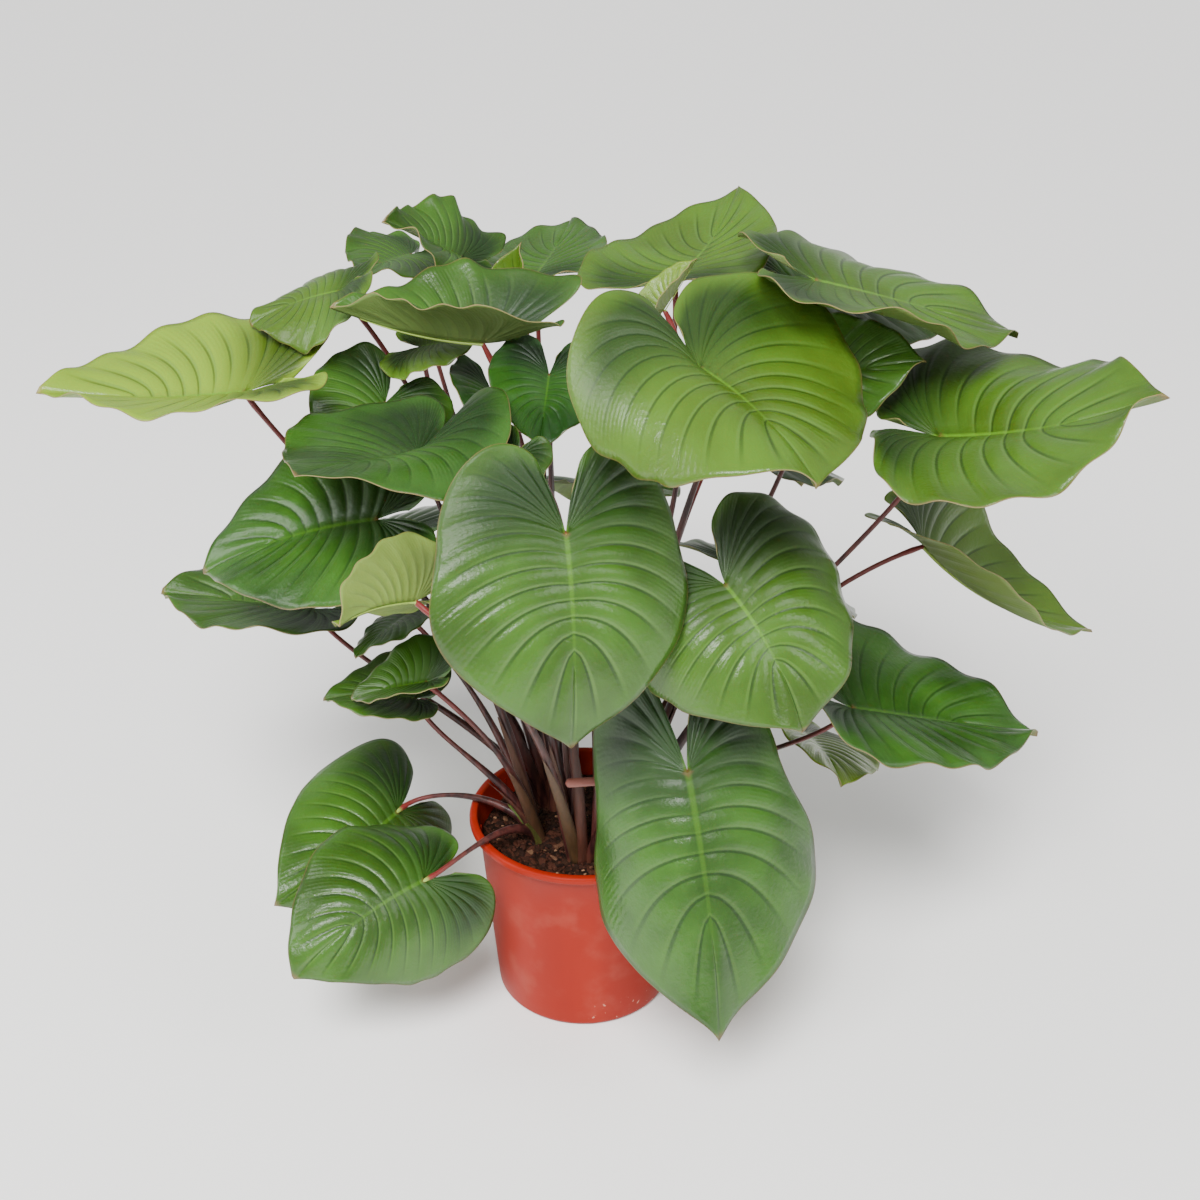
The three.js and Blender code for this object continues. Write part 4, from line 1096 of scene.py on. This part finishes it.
def fin_object():
    root, top = NECK_RADIUS - 0.7 * WALL, NECK_Z + FIN_SUNK
    flat = [(root, top), (root, NECK_Z - FIN_HEIGHT), (NECK_RADIUS + FIN_DEPTH, top)]
    half = FIN_THICKNESS / 2
    points = [(r * MM, y * MM, z * MM) for y in (-half, half) for r, z in flat]
    faces = [(0, 1, 2), (5, 4, 3), (1, 0, 3, 4), (2, 1, 4, 5), (0, 2, 5, 3)]
    piece = mesh_object("rim_fins", points, faces, [pot_finish], smooth=False)
    build = bmesh.new()
    build.from_mesh(piece.data)
    bmesh.ops.recalc_face_normals(build, faces=build.faces)
    build.to_mesh(piece.data)
    build.free()
    return piece


fins = grow(fin_object(), around_tree(), {"Count": FINS, "First angle": math.radians(FIRST_FIN),
                                          "Material": pot_finish})
settle(fins, "pot")
print("fin faces:", len(fins.data.polygons))

# %% [markdown]
# A spun profile can't have separate holes in its base, so they are drilled afterwards. A Boolean
# modifier takes eight upright cylinders out of the base at once, and its result is kept as the
# pot's plain mesh.

# %% Drain holes through the base
DRAIN_HOLES, DRAIN_RADIUS, DRAIN_RING, DRAIN_SIDES = 8, 5, 58, 24
pot = spin_profile("nursery_pot", pot_profile, SPIN_STEPS, pot_finish)
drill = bmesh.new()
for k in range(DRAIN_HOLES):
    angle = 2 * math.pi * (k + 0.5) / DRAIN_HOLES
    made = bmesh.ops.create_cone(drill, cap_ends=True, segments=DRAIN_SIDES,
                                 radius1=DRAIN_RADIUS * MM, radius2=DRAIN_RADIUS * MM,
                                 depth=4 * BASE * MM)
    place = Vector((math.cos(angle), math.sin(angle), 0)) * DRAIN_RING * MM
    bmesh.ops.translate(drill, verts=made["verts"], vec=place)
drill_mesh = bpy.data.meshes.new("drill")
drill.to_mesh(drill_mesh)
drill.free()
drills = linked("drill", drill_mesh)
cut = pot.modifiers.new("drain", "BOOLEAN")
cut.operation, cut.object, cut.solver = "DIFFERENCE", drills, "EXACT"
shown = pot.evaluated_get(bpy.context.evaluated_depsgraph_get())
drained = bpy.data.meshes.new_from_object(shown)
pot.modifiers.remove(cut)
pot.data = drained
bpy.data.objects.remove(drills)
settle(pot, "pot", "pot")
print("pot faces:", len(pot.data.polygons))

# %% [markdown]
# ## The potting mix
# Peat settles into a low mound with a crumbly surface. A disc of rings is pushed up and down
# by fractal noise, and a plain body closes it below, inside the pot.

# %% Finish of the soil
PALE_BIT = rgb(150, 112, 84)
soil_finish, soil_tree, soil_shader = finish_tree("peat", 0.95, Specular_IOR_Level=0.2)
crumb = noise_on(soil_tree, 220.0, 6.0)
peat = mix(soil_tree, ramp(soil_tree, crumb, 0.3, 0.7), rgb(19, 11, 8), rgb(48, 30, 21))
fleck = ramp(soil_tree, noise_on(soil_tree, 520.0, 2.0), 0.7, 0.76)
peat = mix(soil_tree, calc(soil_tree, "MULTIPLY", fleck, 0.6), peat, PALE_BIT)
soil_tree.links.new(peat, soil_shader.inputs["Base Color"])
bump(soil_tree, soil_shader, crumb, 0.003, 0.8)
print("soil finish:", soil_finish.name)

# %% Soil body
SOIL_EDGE, SOIL_MOUND, SOIL_LUMPS, SOIL_CRUMBS = 166, 6, 2.5, 2.2
SOIL_CLEARANCE, SOIL_LIFT = 0.7, 0.3  # free of the wall, and of the base
SOIL_RINGS, SOIL_SIDES = 46, 150
LUMP_X, LUMP_Y, CRUMB_SCALE = 0.13, 0.11, 0.09  # a millimetre


def soil_height(x, y):
    """A low mound with wide lumps and fine crumbs on it."""
    mound = SOIL_MOUND * (1 - min(1, math.hypot(x, y) / NECK_RADIUS) ** 2)
    lumps = SOIL_LUMPS * math.sin(x * LUMP_X + 1) * math.cos(y * LUMP_Y)
    crumbs = SOIL_CRUMBS * noise.fractal(Vector((x, y, 3.0)) * CRUMB_SCALE, 0.9, 2.1, 5)
    return SOIL_EDGE + mound + lumps + crumbs


def soil_object():
    rim = wall_radius(SOIL_Z) - WALL - SOIL_CLEARANCE
    foot = FOOT_RADIUS - WALL - SOIL_CLEARANCE
    points, faces = [(0, 0, soil_height(0, 0))], []
    levels = [(rim * k / SOIL_RINGS, None) for k in range(1, SOIL_RINGS + 1)]
    for radius, level in levels + [(foot, BASE + SOIL_LIFT)]:
        for k in range(SOIL_SIDES):
            angle = 2 * math.pi * k / SOIL_SIDES
            x, y = radius * math.cos(angle), radius * math.sin(angle)
            points.append((x, y, soil_height(x, y) if level is None else level))

    def at(ring, k):
        return 1 + ring * SOIL_SIDES + k % SOIL_SIDES

    for k in range(SOIL_SIDES):
        faces.append((0, at(0, k), at(0, k + 1)))
        for ring in range(SOIL_RINGS):
            faces.append((at(ring, k), at(ring + 1, k), at(ring + 1, k + 1), at(ring, k + 1)))
    faces.append([at(SOIL_RINGS, k) for k in reversed(range(SOIL_SIDES))])
    return mesh_object("potting_mix", np.array(points) * MM, faces, [soil_finish])


soil = soil_object()
settle(soil, "soil", "soil")
print("soil faces:", len(soil.data.polygons))

# %% [markdown]
# ## Bark chips and crumbs
# The mix is full of reddish bark chips, dark crumbs and a few pale bits. They are scattered
# over the top of the soil by a geometry tree: points at random with a fixed seed, one small
# rock on each with its own size and turn, and then every corner is pushed about by noise, so
# that no two are alike. A random shade is kept on each chip for its colour.

# %% Finish of the chips
WET_BARK, RED_BARK = rgb(24, 14, 10), rgb(68, 37, 26)
chip_finish, chip_tree, chip_shader = finish_tree("bark", 0.85, Specular_IOR_Level=0.25)
shade = node(chip_tree, "ShaderNodeAttribute", attribute_name="shade").outputs["Fac"]
bark = mix(chip_tree, ramp(chip_tree, shade, 0.0, 0.6), WET_BARK, RED_BARK)
bark = mix(chip_tree, ramp(chip_tree, shade, 0.86, 1.0), bark, PALE_BIT)
mottle = calc(chip_tree, "MULTIPLY", noise_on(chip_tree, 300.0, 5.0), 0.5)
bark = mix(chip_tree, mottle, bark, rgb(40, 24, 18))
chip_tree.links.new(bark, chip_shader.inputs["Base Color"])
bump(chip_tree, chip_shader, noise_on(chip_tree, 380.0, 4.0), 0.001, 0.7)
print("chip finish:", chip_finish.name)

# %% Scatter the chips
CHIP_TILT, FULL_TURN = 0.5, 6.28
TURN_SEED, SHADE_SEED = 7, 11
CRAGS_SCALE, CRAGS_DEPTH = 150.0, 0.006


def scatter_tree():
    tree, given = geometry_tree("scatter_chips", [
        ("Density", "Float"), ("Smallest", "Vector"), ("Largest", "Vector"), ("Seed", "Int"),
        ("Material", "Material")])
    points = node(tree, "GeometryNodeDistributePointsOnFaces", {
        "Mesh": given["Geometry"], "Density": given["Density"], "Seed": given["Seed"]})
    rock = node(tree, "GeometryNodeMeshIcoSphere", {"Radius": 0.5, "Subdivisions": 2})
    size = node(tree, "FunctionNodeRandomValue", {"Min": given["Smallest"],
                "Max": given["Largest"], "Seed": given["Seed"]}, data_type="FLOAT_VECTOR")
    turn = node(tree, "FunctionNodeRandomValue", {"Min": (-CHIP_TILT, -CHIP_TILT, 0.0),
                "Max": (CHIP_TILT, CHIP_TILT, FULL_TURN), "Seed": TURN_SEED},
                data_type="FLOAT_VECTOR")
    chips = node(tree, "GeometryNodeInstanceOnPoints", {"Points": points.outputs["Points"],
                 "Instance": rock.outputs["Mesh"], "Rotation": turn.outputs[0],
                 "Scale": size.outputs[0]})
    shade = node(tree, "FunctionNodeRandomValue", {"Seed": SHADE_SEED}, data_type="FLOAT")
    kept = node(tree, "GeometryNodeStoreNamedAttribute", {"Geometry": chips.outputs[0],
                "Name": "shade", "Value": shade.outputs[1]}, data_type="FLOAT",
                domain="INSTANCE")
    real = node(tree, "GeometryNodeRealizeInstances", {"Geometry": kept.outputs[0]})
    rough = node(tree, "ShaderNodeTexNoise", {"Scale": CRAGS_SCALE, "Detail": 2.0})
    push = node(tree, "ShaderNodeVectorMath", {0: rough.outputs["Color"], 1: (0.5, 0.5, 0.5)},
                operation="SUBTRACT")
    push = node(tree, "ShaderNodeVectorMath", {0: push.outputs[0], "Scale": CRAGS_DEPTH},
                operation="SCALE")
    craggy = node(tree, "GeometryNodeSetPosition", {"Geometry": real.outputs[0],
                  "Offset": push.outputs[0]})
    flat = node(tree, "GeometryNodeSetShadeSmooth", {"Geometry": craggy.outputs[0],
                "Shade Smooth": False})
    end_tree(tree, flat.outputs[0], given["Material"])
    return tree


scatter_chips = scatter_tree()


def soil_top(name, reach):
    """A plain copy of the soil's surface inside this radius, to scatter over."""
    build = bmesh.new()
    build.from_mesh(soil.data)
    away = [face for face in build.faces
            if face.calc_center_median().xy.length > reach * MM or face.normal.z < 0.2]
    bmesh.ops.delete(build, geom=away, context="FACES")
    mesh = bpy.data.meshes.new(name)
    build.to_mesh(mesh)
    build.free()
    return linked(name, mesh)


SCATTERS = {
    # piece: (reach from the axis, chips a square metre, smallest, largest, seed)
    "bark_chips": (86, 16000.0, (0.004, 0.003, 0.0015), (0.013, 0.008, 0.004), 3),
    "crumbs": (90, 70000.0, (0.0015, 0.0015, 0.001), (0.0045, 0.004, 0.003), 5),
}
for name, (reach, density, smallest, largest, seed) in SCATTERS.items():
    scattered = grow(soil_top(name, reach), scatter_chips, {
        "Density": density, "Smallest": smallest, "Largest": largest, "Seed": seed,
        "Material": chip_finish})
    settle(scattered, "soil")
    print(name, len(scattered.data.polygons), "faces")
